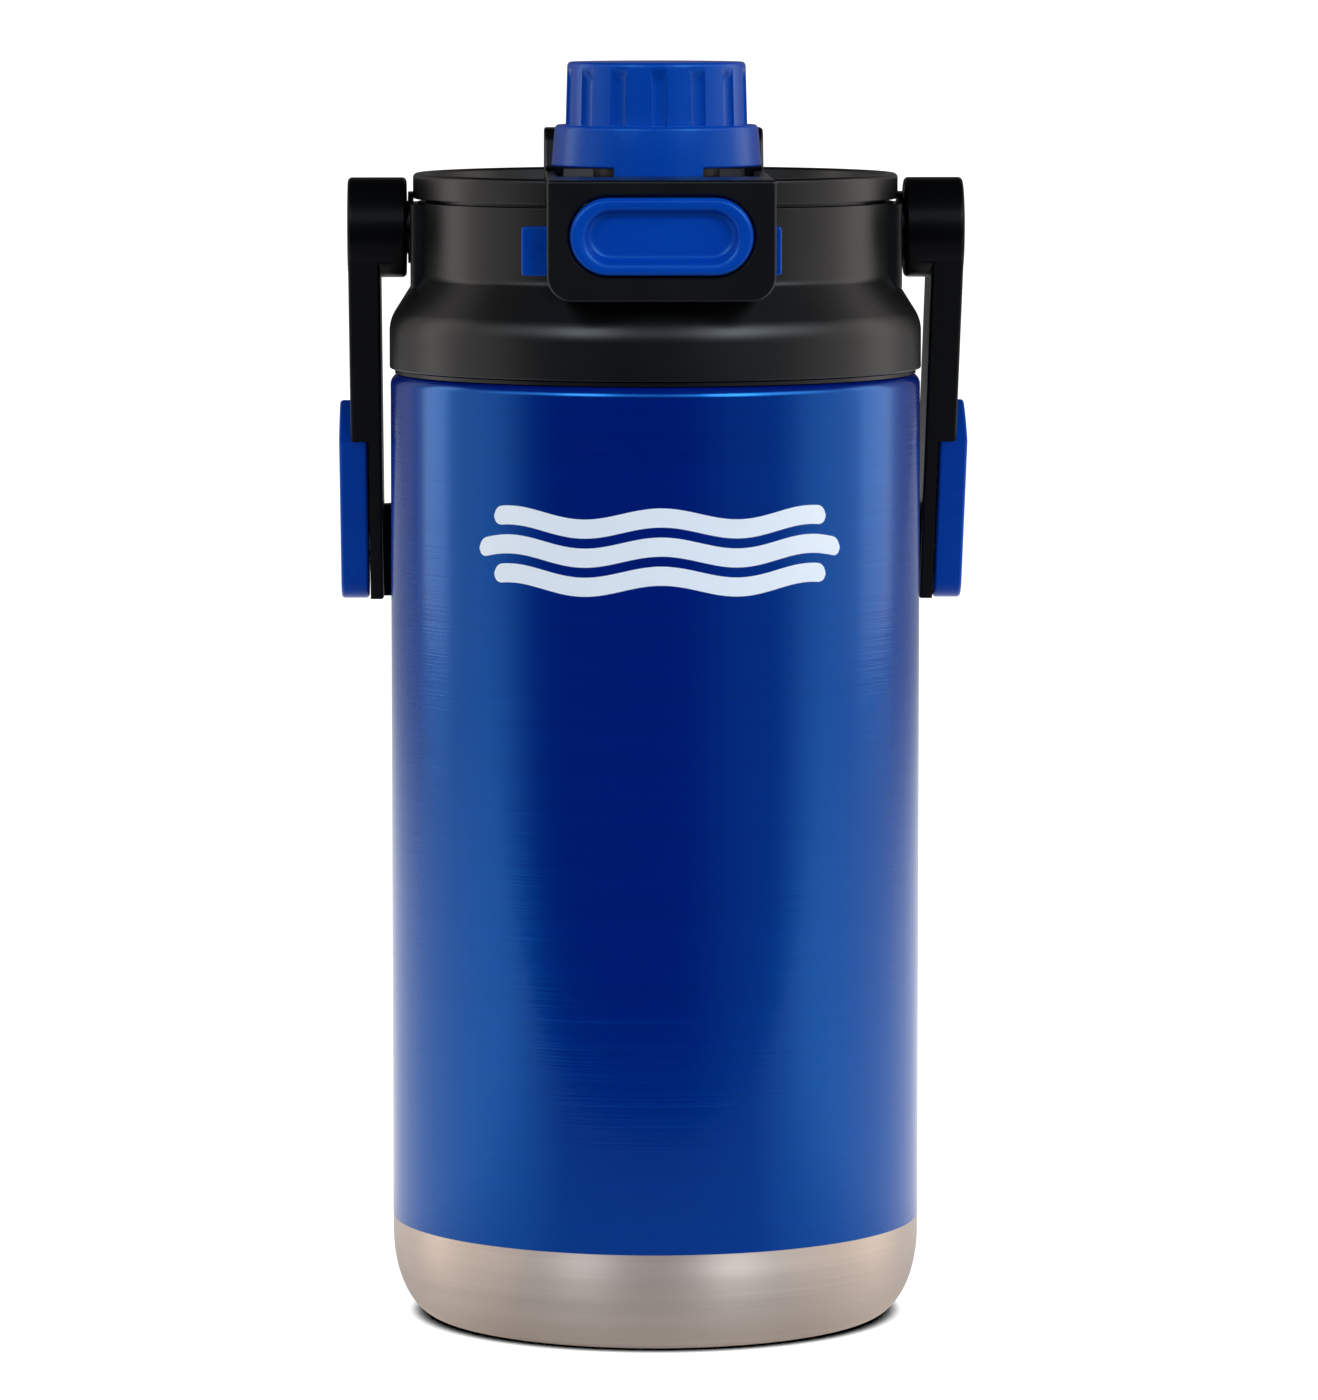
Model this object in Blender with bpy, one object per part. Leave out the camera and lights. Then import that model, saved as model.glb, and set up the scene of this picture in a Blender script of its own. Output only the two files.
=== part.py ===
"""Insulated steel water jug with a screw lid, flip cap, latch, lock, bail handle and two hooks.

Units are metres and +Z is up. The origin is on the jug's axis at the height of the floor, and the
front, with the push button, faces -Y. Run with: blender --background --python part.py
"""
import math

import bmesh
import bpy
from mathutils import Matrix, Vector

# Clearances and smoothness
GAP = 0.0003
BODY_SEGMENTS = 48
HIDDEN_SEGMENTS = 32
SLOT_STEPS = 8
RING_SEGMENTS = 6
SPOUT_SEGMENTS = 32
SMALL_SEGMENTS = 20
PIN_SEGMENTS = 12
RIBBED_SEGMENTS = 42
COIL_POINTS = 8
ARC_STEPS = 3
SHARP_DEGREES = 30
SOFTENED_DEGREES = 40
GUIDE_SIZE = 0.01
MERGE_DISTANCE = 0.000001
CUTTER_MARGIN = 0.004

# Bottle: outer wall
BODY_RADIUS = 0.0600
OUTER_WALL = 0.0008
SHOULDER_Z = 0.2150
SHOULDER_ROUND = 0.0027
NECK_RADIUS = 0.0525
NECK_TOP_Z = 0.2275

# Bottle: base cup
CUP_TOP_Z = 0.0226
CUP_CORNER_WIDTH = 0.0100
CUP_CORNER_HEIGHT = 0.0190
CUP_CORNER_STEPS = 4
CUP_INNER_STEPS = 2
FOOT_GROOVE_INNER = 0.0330
FOOT_GROOVE_OUTER = 0.0460
FOOT_GROOVE_DEPTH = 0.0012
FOOT_GROOVE_SLOPE = 0.0015

# Bottle: inner liner and vacuum seal
VACUUM_GAP = 0.0022
LINER_WALL = 0.0007
LINER_FLOOR_Z = 0.0063
LINER_CORNER = 0.0130
LINER_SHOULDER_Z = 0.2128
LINER_SHOULDER_RISE = 0.0060
VACUUM_SEAL_RADIUS = 0.0050
VACUUM_SEAL_HEIGHT = 0.0018

# Lid thread: three starts, right handed
THREAD_STARTS = 3
THREAD_LEAD = 0.0120
THREAD_STEPS = 18
THREAD_HEIGHT = 0.0013
THREAD_BASE_WIDTH = 0.0015
THREAD_CREST_WIDTH = 0.0009
THREAD_ROOTED = 0.0003
THREAD_BOTTOM_Z = 0.2180

# Lid collar
COLLAR_RADIUS = 0.0602
COLLAR_BOTTOM_Z = 0.2160
COLLAR_EDGE = 0.0010
COLLAR_SHOULDER_Z = 0.2269
COLLAR_SHOULDER_ROUND = 0.0055
COLLAR_SLOPE_SHIFT = 0.3
WAIST_RADIUS = 0.0539
WAIST_BOTTOM_Z = 0.2369
WAIST_FILLET = 0.0020
COLLAR_TOP_Z = 0.2536
COLLAR_WALL = 0.0018
PAD_FACE_X = 0.0553
PAD_ROOT_RADIUS = 0.0530
PAD_HALF_WIDTH = 0.0130
PAD_BOTTOM_Z = 0.2345
PAD_TOP_Z = 0.2532

# Lid top
RIM_RADIUS = 0.0548
RIM_BOTTOM_Z = 0.2543
RIM_TOP_Z = 0.2600
RIM_ROUND = 0.0010
RIM_INNER_RADIUS = 0.0520
DISH_RADIUS = 0.0480
DISH_Z = 0.2510
LID_TOP_UNDERSIDE_Z = 0.2490
LID_TOP_SKIRT_RADIUS = 0.0517
SCREW_POST_RADIUS = 0.0035
SCREW_POST_BOTTOM_Z = 0.2333

# Lid liner, gasket and insulation
LID_LINER_RADIUS = 0.0566
LID_LINER_ROOT = 0.0544
LID_LINER_BOTTOM_Z = 0.2169
LID_LINER_CEILING_Z = 0.2301
LID_LINER_TOP_Z = 0.2323
LID_LINER_SLOPE_Z = 0.2282
LID_LINER_SLOPE_RADIUS = 0.0539
GASKET_INNER = 0.0505
GASKET_OUTER = 0.0536
GASKET_BOTTOM_Z = 0.2278
GASKET_TOP_Z = 0.2298
GASKET_ROUND = 0.0004
INSULATION_RADIUS = 0.0515
INSULATION_BOTTOM_Z = 0.2330
INSULATION_TOP_Z = 0.2486

# Liner screws
SCREW_CIRCLE = 0.0400
SCREW_COUNT = 4
SCREW_HEAD_RADIUS = 0.0030
SCREW_HEAD_HEIGHT = 0.0016
SCREW_SHANK_RADIUS = 0.0014
SCREW_TOP_Z = 0.2430
SCREW_CLEARANCE = 0.0004

# Spout and its ring
SPOUT_Y = -0.0120
SPOUT_RADIUS = 0.0142
SPOUT_BORE = 0.0122
SPOUT_BOTTOM_Z = 0.2304
SPOUT_TOP_Z = 0.2790
SPOUT_FLANGE_RADIUS = 0.0175
SPOUT_FLANGE_TOP_Z = 0.2532
SPOUT_LIP = 0.0008
SPOUT_HOLE = 0.0147
SPOUT_RING_OUTER = 0.0172
SPOUT_RING_SEAT = 0.0176
SPOUT_RING_SEAT_HEIGHT = 0.0030

# Flip cap
CAP_FLANGE_BOTTOM_Z = 0.2618
CAP_FLANGE_TOP_Z = 0.2708
CAP_FLANGE_BOTTOM_RADIUS = 0.0236
CAP_FLANGE_TOP_RADIUS = 0.0228
CAP_FLANGE_ROUND = 0.0012
CAP_DOME_BOTTOM_RADIUS = 0.0204
CAP_DOME_TOP_RADIUS = 0.0200
CAP_TOP_Z = 0.2852
CAP_TOP_ROUND = 0.0009
CAP_INNER_RADIUS = 0.0169
CAP_CEILING_Z = 0.2818
CAP_SEAL_RADIUS = 0.0163
CAP_SEAL_BOTTOM_Z = 0.2793
CAP_SEAL_TOP_Z = 0.2815
RIB_GROOVES = 14
RIB_GROOVE_WIDTH = 0.0039
RIB_GROOVE_DEPTH = 0.0020
RIB_GROOVE_TOP_Z = 0.2842
TAB_HALF_WIDTH_TOP = 0.0102
TAB_HALF_WIDTH_BOTTOM = 0.0096
TAB_THICKNESS = 0.0032
TAB_BOTTOM_Z = 0.2542
TAB_TOP_Z = 0.2680

# Cap hinge
HINGE_Y = 0.0220
HINGE_Z = 0.2650
HINGE_PIN_RADIUS = 0.0015
HINGE_PIN_HALF_LENGTH = 0.0244
HINGE_KNUCKLE_RADIUS = 0.0043
HINGE_LUG_HALF_WIDTH = 0.0202
HINGE_LUG_START_Y = 0.0060
HINGE_SLOT_HALF_WIDTH = 0.0075
HINGE_SLOT_START_Y = 0.0165
CAP_SPRING_RADIUS = 0.0030
CAP_SPRING_WIRE = 0.0005
CAP_SPRING_TURNS = 5
CAP_SPRING_LENGTH = 0.0110

# Latch bridge
BRIDGE_HALF_WIDTH = 0.0250
BRIDGE_WALL = 0.0024
BRIDGE_FRONT_Y = -0.0650
BRIDGE_BOTTOM_Z = 0.2337
BRIDGE_TOP_Z = 0.2602
BRIDGE_CORNER = 0.0055
BRIDGE_TOP_CORNER = 0.0008
BRIDGE_HOUSING_END_Y = -0.0483
BRIDGE_DECK_END_Y = -0.0375
RAIL_BOTTOM_Z = 0.2513
RAIL_END_Y = 0.0340
EAR_FRONT_Y = 0.0130
EAR_TOP_FRONT_Y = 0.0165
EAR_TOP_REAR_Y = 0.0295
EAR_TOP_Z = 0.2697
EAR_ROUND = 0.0045
EAR_INNER_X = 0.0206
NOTCH_CLEARANCE = 0.0003

# Push button and its latch frame
BUTTON_Z = 0.2479
BUTTON_HALF_WIDTH = 0.02005
BUTTON_HALF_HEIGHT = 0.0085
BUTTON_FRONT_Y = -0.0656
BUTTON_BACK_Y = -0.0612
BUTTON_HOLE_CLEARANCE = 0.0004
BUTTON_DISH_HALF_WIDTH = 0.0155
BUTTON_DISH_HALF_HEIGHT = 0.0052
BUTTON_DISH_DEPTH = 0.0010
FRAME_HALF_WIDTH = 0.0160
FRAME_BOTTOM_Z = 0.2546
FRAME_TOP_Z = 0.2568
FRAME_REAR_Y = -0.0300
FRAME_WINDOW_HALF_WIDTH = 0.0125
FRAME_WINDOW_FRONT_Y = -0.0402
FRAME_WINDOW_REAR_Y = -0.0321
BUTTON_SPRING_RADIUS = 0.0024
BUTTON_SPRING_WIRE = 0.00035
BUTTON_SPRING_TURNS = 4
BUTTON_SPRING_Z = 0.2445

# Lock slider
LOCK_LEFT_X = -0.0305
LOCK_RIGHT_X = 0.0264
LOCK_BOTTOM_Z = 0.2391
LOCK_TOP_Z = 0.2499
LOCK_FRONT_Y = -0.0580
LOCK_BACK_Y = -0.0543
LOCK_TRAVEL = 0.0041
LOCK_WINDOW_BOTTOM_Z = 0.2409
LOCK_WINDOW_TOP_Z = 0.2481
LOCK_WINDOW_HALF_WIDTH = 0.0075
LOCK_EDGE = 0.0005

# Handle pivots, on an axis along X
PIVOT_Z = 0.2477
STUB_SHOULDER_RADIUS = 0.00815
STUB_SHOULDER_X = 0.0559
STUB_RADIUS = 0.0060
STUB_END_X = 0.0659
STUB_ROOTED = 0.0002
STUB_BORE_RADIUS = 0.0023
STUB_BORE_END_X = 0.0568
PIVOT_WASHER_RADIUS = 0.0076
PIVOT_WASHER_NEAR_X = 0.0662
PIVOT_WASHER_FAR_X = 0.0670
PIVOT_SCREW_TIP_X = 0.0575
PIVOT_SCREW_RADIUS = 0.0019
PIVOT_SCREW_HEAD_X = 0.0673
PIVOT_SCREW_HEAD_RADIUS = 0.0045
PIVOT_SCREW_HEAD_END_X = 0.0682
PIVOT_COVER_RADIUS = 0.0076
PIVOT_COVER_NEAR_X = 0.0686
PIVOT_COVER_FAR_X = 0.0693

# Handle
BOSS_RADIUS = 0.0113
BOSS_INNER_X = 0.0562
BOSS_OUTER_X = 0.0695
BOSS_EDGE = 0.0012
BOSS_BORE_RADIUS = 0.0064
BOSS_COUNTERBORE_RADIUS = 0.0080
BOSS_COUNTERBORE_X = 0.0657
ARM_INNER_X = 0.0622
ARM_OUTER_X = 0.0694
ARM_HALF_WIDTH = 0.0111
ARM_LEAN_DEGREES = 30.5
ARM_ROOT_RADIUS = 0.0095
ARM_ROOT_STEPS = 8
GRIP_EDGE = 0.0010
GRIP_BOTTOM_Z = 0.1600
GRIP_TOP_Z = 0.1814
GRIP_END_Y = 0.0520
GRIP_START_Y = 0.0485
GRIP_OUTER_X = 0.0652
GRIP_OUTER_START_Y = 0.0480
GRIP_OUTER_DEPTH = 0.0195
GRIP_INNER_X = 0.0620
GRIP_INNER_START_Y = 0.0440
GRIP_INNER_DEPTH = 0.0166
GRIP_STEPS = 16

# Hooks, folded against the arms
HOOK_PIN_ALONG = 0.0909
HOOK_PIN_ACROSS = -0.0018
HOOK_HALF_WIDTH = 0.0086
HOOK_LENGTH = 0.0403
HOOK_INNER_X = 0.0656
HOOK_OUTER_X = 0.0721
HOOK_EDGE = 0.0006
HOOK_ARC_STEPS = 4
RECESS_FLOOR_X = 0.0653
RECESS_CLEARANCE = 0.0005
RECESS_FRONT = 0.0200
RECESS_BELOW = 0.0250
HOOK_PIN_RADIUS = 0.0025
HOOK_PIN_HOLE = 0.0029
HOOK_PIN_INNER_X = 0.0625
HOOK_PIN_HEAD_RADIUS = 0.0045
HOOK_PIN_HEAD_X = 0.0709
HOOK_PIN_HEAD_END_X = 0.0717
HOOK_PIN_SEAT_RADIUS = 0.0049
HOOK_PIN_SEAT_X = 0.0706

# Colours (linear RGB), roughness and metallic value of each look
LOOKS = {
    "blue_paint": ((0.004, 0.035, 0.240, 1.0), 0.22, 0.6),
    "brushed_steel": ((0.560, 0.530, 0.500, 1.0), 0.34, 1.0),
    "black_plastic": ((0.012, 0.012, 0.013, 1.0), 0.42, 0.0),
    "blue_plastic": ((0.003, 0.045, 0.380, 1.0), 0.32, 0.0),
    "clear_seal": ((0.620, 0.630, 0.640, 1.0), 0.50, 0.0),
    "white_foam": ((0.800, 0.800, 0.780, 1.0), 0.90, 0.0),
    "spring_steel": ((0.500, 0.500, 0.510, 1.0), 0.28, 1.0),
}


def clear_scene():
    for item in list(bpy.data.objects):
        bpy.data.objects.remove(item, do_unlink=True)


def look(name):
    """The Principled material with this name, made the first time that it is asked for."""
    if name in bpy.data.materials:
        return bpy.data.materials[name]
    colour, roughness, metallic = LOOKS[name]
    material = bpy.data.materials.new(name)
    material.use_nodes = True
    shader = material.node_tree.nodes["Principled BSDF"]
    shader.inputs["Base Color"].default_value = colour
    shader.inputs["Roughness"].default_value = roughness
    shader.inputs["Metallic"].default_value = metallic
    material.diffuse_color = colour
    return material


# ---------------------------------------------------------------- outlines

def rounded(corners, steps=ARC_STEPS):
    """Outline through corners (u, v, radius), with an arc of that radius in each corner."""
    outline = []
    for index, (u, v, radius) in enumerate(corners):
        corner = Vector((u, v))
        if radius == 0:
            outline.append(corner)
            continue
        previous = Vector(corners[index - 1][:2])
        following = Vector(corners[(index + 1) % len(corners)][:2])
        back = (previous - corner).normalized()
        forth = (following - corner).normalized()
        half = back.angle(forth) / 2
        reach = radius / math.tan(half)
        centre = corner + (back + forth).normalized() * (radius / math.sin(half))
        start = corner + back * reach - centre
        end = corner + forth * reach - centre
        turn = math.pi - 2 * half
        for step in range(steps + 1):
            part = step / steps
            start_weight = math.sin((1 - part) * turn) / math.sin(turn)
            end_weight = math.sin(part * turn) / math.sin(turn)
            outline.append(centre + start * start_weight + end * end_weight)
    return outline


def ellipse_arc(centre_u, centre_v, radius_u, radius_v, start_degrees, end_degrees, steps):
    points = []
    for step in range(steps + 1):
        angle = math.radians(start_degrees + (end_degrees - start_degrees) * step / steps)
        point = Vector((centre_u + radius_u * math.cos(angle), centre_v + radius_v * math.sin(angle)))
        points.append(point)
    return points


def circle(centre_u, centre_v, radius, segments):
    return ellipse_arc(centre_u, centre_v, radius, radius, 0, 360, segments)[:-1]


def stadium(centre_u, centre_v, half_width, half_height, steps):
    """Upright ends are half circles, so the outline is a slot lying along u."""
    straight = half_width - half_height
    right = ellipse_arc(centre_u + straight, centre_v, half_height, half_height, -90, 90, steps)
    left = ellipse_arc(centre_u - straight, centre_v, half_height, half_height, 90, 270, steps)
    return right + left


def rectangle(low_u, low_v, high_u, high_v):
    corners = ((low_u, low_v), (high_u, low_v), (high_u, high_v), (low_u, high_v))
    return [Vector(corner) for corner in corners]


# ---------------------------------------------------------------- solids

def place(axis, u, v, w):
    """A point of an outline (u, v) at distance w along the axis."""
    if axis == "X":
        return Vector((w, u, v))
    if axis == "Y":
        return Vector((u, w, v))
    return Vector((u, v, w))


def new_object(name, mesh, material_name):
    mesh.materials.append(look(material_name))
    mesh.shade_smooth()
    mesh.set_sharp_from_angle(angle=math.radians(SHARP_DEGREES))
    item = bpy.data.objects.new(name, mesh)
    bpy.context.scene.collection.objects.link(item)
    return item


def finish_mesh(name, shape, material_name):
    """Weld, face outwards and turn the bmesh into an object."""
    bmesh.ops.remove_doubles(shape, verts=shape.verts, dist=MERGE_DISTANCE)
    bmesh.ops.recalc_face_normals(shape, faces=shape.faces)
    mesh = bpy.data.meshes.new(name)
    shape.to_mesh(mesh)
    shape.free()
    return new_object(name, mesh, material_name)


def add_prism(shape, outline, axis, near, far):
    corners = [shape.verts.new(place(axis, u, v, near)) for u, v in outline]
    face = shape.faces.new(corners)
    grown = bmesh.ops.extrude_face_region(shape, geom=[face])
    moved = [item for item in grown["geom"] if isinstance(item, bmesh.types.BMVert)]
    bmesh.ops.translate(shape, verts=moved, vec=place(axis, 0, 0, far - near))


def prism(name, outline, axis, near, far, material_name):
    shape = bmesh.new()
    add_prism(shape, outline, axis, near, far)
    return finish_mesh(name, shape, material_name)


def axis_matrix(centre, axis):
    """Carries +Z onto the axis, at the centre."""
    if axis == "X":
        turn = Matrix.Rotation(math.radians(90), 4, "Y")
    elif axis == "Y":
        turn = Matrix.Rotation(math.radians(-90), 4, "X")
    else:
        turn = Matrix.Identity(4)
    return Matrix.Translation(centre) @ turn


def turned(name, outline, segments, material_name, centre=(0, 0, 0), axis="Z"):
    """Solid of revolution of an outline of (radius, height).

    An outline that starts and ends on the axis stays open there, and any other one is closed.
    """
    shape = bmesh.new()
    corners = [shape.verts.new((radius, 0, height)) for radius, height in outline]
    edges = [shape.edges.new(pair) for pair in zip(corners, corners[1:])]
    touches_axis = outline[0][0] == 0 and outline[-1][0] == 0
    if not touches_axis:
        edges.append(shape.edges.new((corners[-1], corners[0])))
    bmesh.ops.spin(
        shape,
        geom=corners + edges,
        cent=(0, 0, 0),
        axis=(0, 0, 1),
        angle=math.radians(360),
        steps=segments,
        use_merge=True,
    )
    shape.transform(axis_matrix(centre, axis))
    return finish_mesh(name, shape, material_name)


def coil(name, centre, axis, radius, wire, turns, length):
    """Coil spring of round wire, centred on the centre."""
    spline_points = []
    for step in range(turns * COIL_POINTS + 1):
        angle = math.radians(360) * step / COIL_POINTS
        height = length * (step / (turns * COIL_POINTS) - 0.5)
        spline_points.append(Vector((radius * math.cos(angle), radius * math.sin(angle), height)))
    carried = axis_matrix(centre, axis)
    curve = bpy.data.curves.new(name, "CURVE")
    curve.dimensions = "3D"
    curve.bevel_depth = wire
    curve.bevel_resolution = 0
    curve.use_fill_caps = True
    spline = curve.splines.new("POLY")
    spline.points.add(len(spline_points) - 1)
    for point, position in zip(spline.points, spline_points):
        point.co = (carried @ position).to_4d()
    curve.materials.append(look("spring_steel"))
    item = bpy.data.objects.new(name, curve)
    bpy.context.scene.collection.objects.link(item)
    return item


def combine(target, tool, operation):
    """Boolean the target with a tool, which stays in the file as a hidden guide."""
    modifier = target.modifiers.new(operation.lower() + "_" + tool.name, "BOOLEAN")
    modifier.operation = operation
    modifier.solver = "EXACT"
    modifier.object = tool
    tool.hide_render = True
    tool.display_type = "WIRE"
    tool.parent = target.parent


def cut(target, tool):
    combine(target, tool, "DIFFERENCE")


def join(target, tool):
    combine(target, tool, "UNION")


def soften(target, width, segments=1):
    modifier = target.modifiers.new("edges", "BEVEL")
    modifier.width = width
    modifier.segments = segments
    modifier.limit_method = "ANGLE"
    modifier.angle_limit = math.radians(SOFTENED_DEGREES)


def pivot(name, position):
    """Empty on a joint's axis, which the moving pieces hang from."""
    empty = bpy.data.objects.new(name, None)
    empty.empty_display_size = GUIDE_SIZE
    empty.location = position
    bpy.context.scene.collection.objects.link(empty)
    return empty


def hang(item, empty):
    """Parent a piece and its guides to the empty, leaving them where they are."""
    family = [item]
    for modifier in item.modifiers:
        if modifier.type == "BOOLEAN":
            family.append(modifier.object)
    total = Vector((0, 0, 0))
    above = empty
    while above is not None:
        total += above.location
        above = above.parent
    for member in family:
        member.parent = empty
        member.matrix_parent_inverse = Matrix.Translation(total).inverted()


def side_name(side):
    return "right" if side > 0 else "left"


# ---------------------------------------------------------------- bottle

def make_thread(name, wall_radius, inward, first_degrees, lift):
    """Raised helical ridges of a lid thread, rooted in a wall of the given radius."""
    direction = -1 if inward else 1
    root = wall_radius - direction * THREAD_ROOTED
    crest = wall_radius + direction * THREAD_HEIGHT
    step_angle = math.radians(360) / BODY_SEGMENTS
    shape = bmesh.new()
    for start in range(THREAD_STARTS):
        first = math.radians(first_degrees) + start * math.radians(360) / THREAD_STARTS
        first = (round(first / step_angle) + 0.5) * step_angle
        rings = []
        for step in range(THREAD_STEPS + 1):
            angle = first + step * step_angle
            turned_from_start = angle - math.radians(360) * start / THREAD_STARTS
            middle = THREAD_BOTTOM_Z + lift + THREAD_LEAD * turned_from_start / math.radians(360)
            section = [
                (root, middle - THREAD_BASE_WIDTH / 2),
                (root, middle + THREAD_BASE_WIDTH / 2),
                (crest, middle + THREAD_CREST_WIDTH / 2),
                (crest, middle - THREAD_CREST_WIDTH / 2),
            ]
            ring = []
            for radius, height in section:
                ring.append(shape.verts.new((radius * math.cos(angle), radius * math.sin(angle), height)))
            rings.append(ring)
        for lower, upper in zip(rings, rings[1:]):
            for corner in range(4):
                following = (corner + 1) % 4
                shape.faces.new((lower[corner], lower[following], upper[following], upper[corner]))
        shape.faces.new(rings[0])
        shape.faces.new(rings[-1])
    return finish_mesh(name, shape, "brushed_steel")


def make_outer_shell():
    inner_radius = BODY_RADIUS - OUTER_WALL
    inner_shoulder = SHOULDER_Z - OUTER_WALL
    neck_hole = NECK_RADIUS + GAP
    bottom = CUP_TOP_Z + GAP
    outline = rounded([
        (BODY_RADIUS, bottom, 0),
        (BODY_RADIUS, SHOULDER_Z, SHOULDER_ROUND),
        (neck_hole, SHOULDER_Z, 0),
        (neck_hole, inner_shoulder, 0),
        (inner_radius, inner_shoulder, SHOULDER_ROUND - OUTER_WALL),
        (inner_radius, bottom, 0),
    ])
    return turned("outer_shell", outline, BODY_SEGMENTS, "blue_paint")


def make_neck_ring():
    """Threaded neck that stands in the shoulder of the outer wall."""
    inner_neck = NECK_RADIUS - OUTER_WALL
    bottom = SHOULDER_Z - OUTER_WALL
    outline = rounded([
        (NECK_RADIUS, bottom, 0),
        (NECK_RADIUS, NECK_TOP_Z, 0),
        (inner_neck, NECK_TOP_Z, 0),
        (inner_neck, bottom, 0),
    ])
    neck = turned("neck_ring", outline, BODY_SEGMENTS, "brushed_steel")
    join(neck, make_thread("neck_thread", NECK_RADIUS, False, 0, 0))
    return neck


def cup_outline(inset, steps):
    """Half outline of the base cup, from its centre to its top edge, moved inwards by the wall."""
    groove_height = FOOT_GROOVE_DEPTH + inset
    corner_centre = BODY_RADIUS - CUP_CORNER_WIDTH
    outline = [
        Vector((0, inset)),
        Vector((FOOT_GROOVE_INNER - inset / 2, inset)),
        Vector((FOOT_GROOVE_INNER + FOOT_GROOVE_SLOPE - inset / 2, groove_height)),
        Vector((FOOT_GROOVE_OUTER - FOOT_GROOVE_SLOPE + inset / 2, groove_height)),
        Vector((FOOT_GROOVE_OUTER + inset / 2, inset)),
    ]
    outline += ellipse_arc(
        corner_centre, CUP_CORNER_HEIGHT, CUP_CORNER_WIDTH - inset, CUP_CORNER_HEIGHT - inset,
        -90, 0, steps,
    )
    outline.append(Vector((BODY_RADIUS - inset, CUP_TOP_Z)))
    return outline


def make_base_cup():
    outline = cup_outline(0, CUP_CORNER_STEPS) + cup_outline(OUTER_WALL, CUP_INNER_STEPS)[::-1]
    return turned("base_cup", outline, BODY_SEGMENTS, "brushed_steel")


def make_inner_liner():
    outer = BODY_RADIUS - OUTER_WALL - VACUUM_GAP
    inner = outer - LINER_WALL
    neck_outer = NECK_RADIUS - OUTER_WALL - GAP
    neck_inner = neck_outer - LINER_WALL
    floor = LINER_FLOOR_Z + LINER_WALL
    shoulder_low = LINER_SHOULDER_Z - LINER_SHOULDER_RISE
    outline = rounded([
        (0, LINER_FLOOR_Z, 0),
        (outer, LINER_FLOOR_Z, LINER_CORNER),
        (outer, shoulder_low, 0),
        (neck_outer, LINER_SHOULDER_Z, 0),
        (neck_outer, NECK_TOP_Z, 0),
        (neck_inner, NECK_TOP_Z, 0),
        (neck_inner, LINER_SHOULDER_Z - LINER_WALL, 0),
        (inner, shoulder_low - LINER_WALL, 0),
        (inner, floor, LINER_CORNER - LINER_WALL),
        (0, floor, 0),
    ])
    return turned("inner_liner", outline, HIDDEN_SEGMENTS, "brushed_steel")


def make_vacuum_seal():
    bottom = OUTER_WALL + GAP
    disc = circle(0, 0, VACUUM_SEAL_RADIUS, SMALL_SEGMENTS)
    return prism("vacuum_seal", disc, "Z", bottom, bottom + VACUUM_SEAL_HEIGHT, "spring_steel")


# ---------------------------------------------------------------- lid shell

def collar_outline(offset, bottom, top):
    """Outer line of the lid collar from its bottom edge to its top, moved outwards by the offset."""
    rise = offset * COLLAR_SLOPE_SHIFT
    return [
        (COLLAR_RADIUS + offset, bottom, 0),
        (COLLAR_RADIUS + offset, COLLAR_SHOULDER_Z + rise, COLLAR_SHOULDER_ROUND),
        (WAIST_RADIUS + offset, WAIST_BOTTOM_Z + rise, WAIST_FILLET),
        (WAIST_RADIUS + offset, top, 0),
    ]


def make_lid_collar():
    edge = [(COLLAR_RADIUS - COLLAR_EDGE, COLLAR_BOTTOM_Z, 0)]
    outer = collar_outline(0, COLLAR_BOTTOM_Z + COLLAR_EDGE, COLLAR_TOP_Z)
    inner = collar_outline(-COLLAR_WALL, COLLAR_BOTTOM_Z, COLLAR_TOP_Z)[::-1]
    collar = turned("lid_collar", rounded(edge + outer + inner), BODY_SEGMENTS, "black_plastic")
    for side in (-1, 1):
        join(collar, make_pad(side))
        join(collar, make_stub(side))
    return collar


def make_pad(side):
    """Flat-faced pad whose back follows the round wall that it is rooted in."""
    spread = math.degrees(math.asin(PAD_HALF_WIDTH / PAD_ROOT_RADIUS))
    outline = [Vector((PAD_FACE_X, -PAD_HALF_WIDTH)), Vector((PAD_FACE_X, PAD_HALF_WIDTH))]
    outline += ellipse_arc(0, 0, PAD_ROOT_RADIUS, PAD_ROOT_RADIUS, spread, -spread, ARC_STEPS)
    outline = [(side * x, y) for x, y in outline]
    name = "pad_" + side_name(side)
    return prism(name, outline, "Z", PAD_BOTTOM_Z, PAD_TOP_Z, "black_plastic")


def make_stub(side):
    """Stepped stub that the handle turns on, with a blind hole for its screw."""
    root_x = PAD_FACE_X - STUB_ROOTED
    outline = [
        (0, side * root_x),
        (STUB_SHOULDER_RADIUS, side * root_x),
        (STUB_SHOULDER_RADIUS, side * STUB_SHOULDER_X),
        (STUB_RADIUS, side * STUB_SHOULDER_X),
        (STUB_RADIUS, side * STUB_END_X),
        (STUB_BORE_RADIUS, side * STUB_END_X),
        (STUB_BORE_RADIUS, side * STUB_BORE_END_X),
        (0, side * STUB_BORE_END_X),
    ]
    name = "stub_" + side_name(side)
    return turned(name, outline, SMALL_SEGMENTS, "black_plastic", (0, 0, PIVOT_Z), "X")


def screw_places():
    for index in range(SCREW_COUNT):
        angle = math.radians(45 + 360 * index / SCREW_COUNT)
        yield index, SCREW_CIRCLE * math.cos(angle), SCREW_CIRCLE * math.sin(angle)


def screw_holes(name, radius, bottom, top):
    """One guide with a cylinder at each liner screw."""
    shape = bmesh.new()
    for _, x, y in screw_places():
        add_prism(shape, circle(x, y, radius, PIN_SEGMENTS), "Z", bottom, top)
    return finish_mesh(name, shape, "black_plastic")


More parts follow.
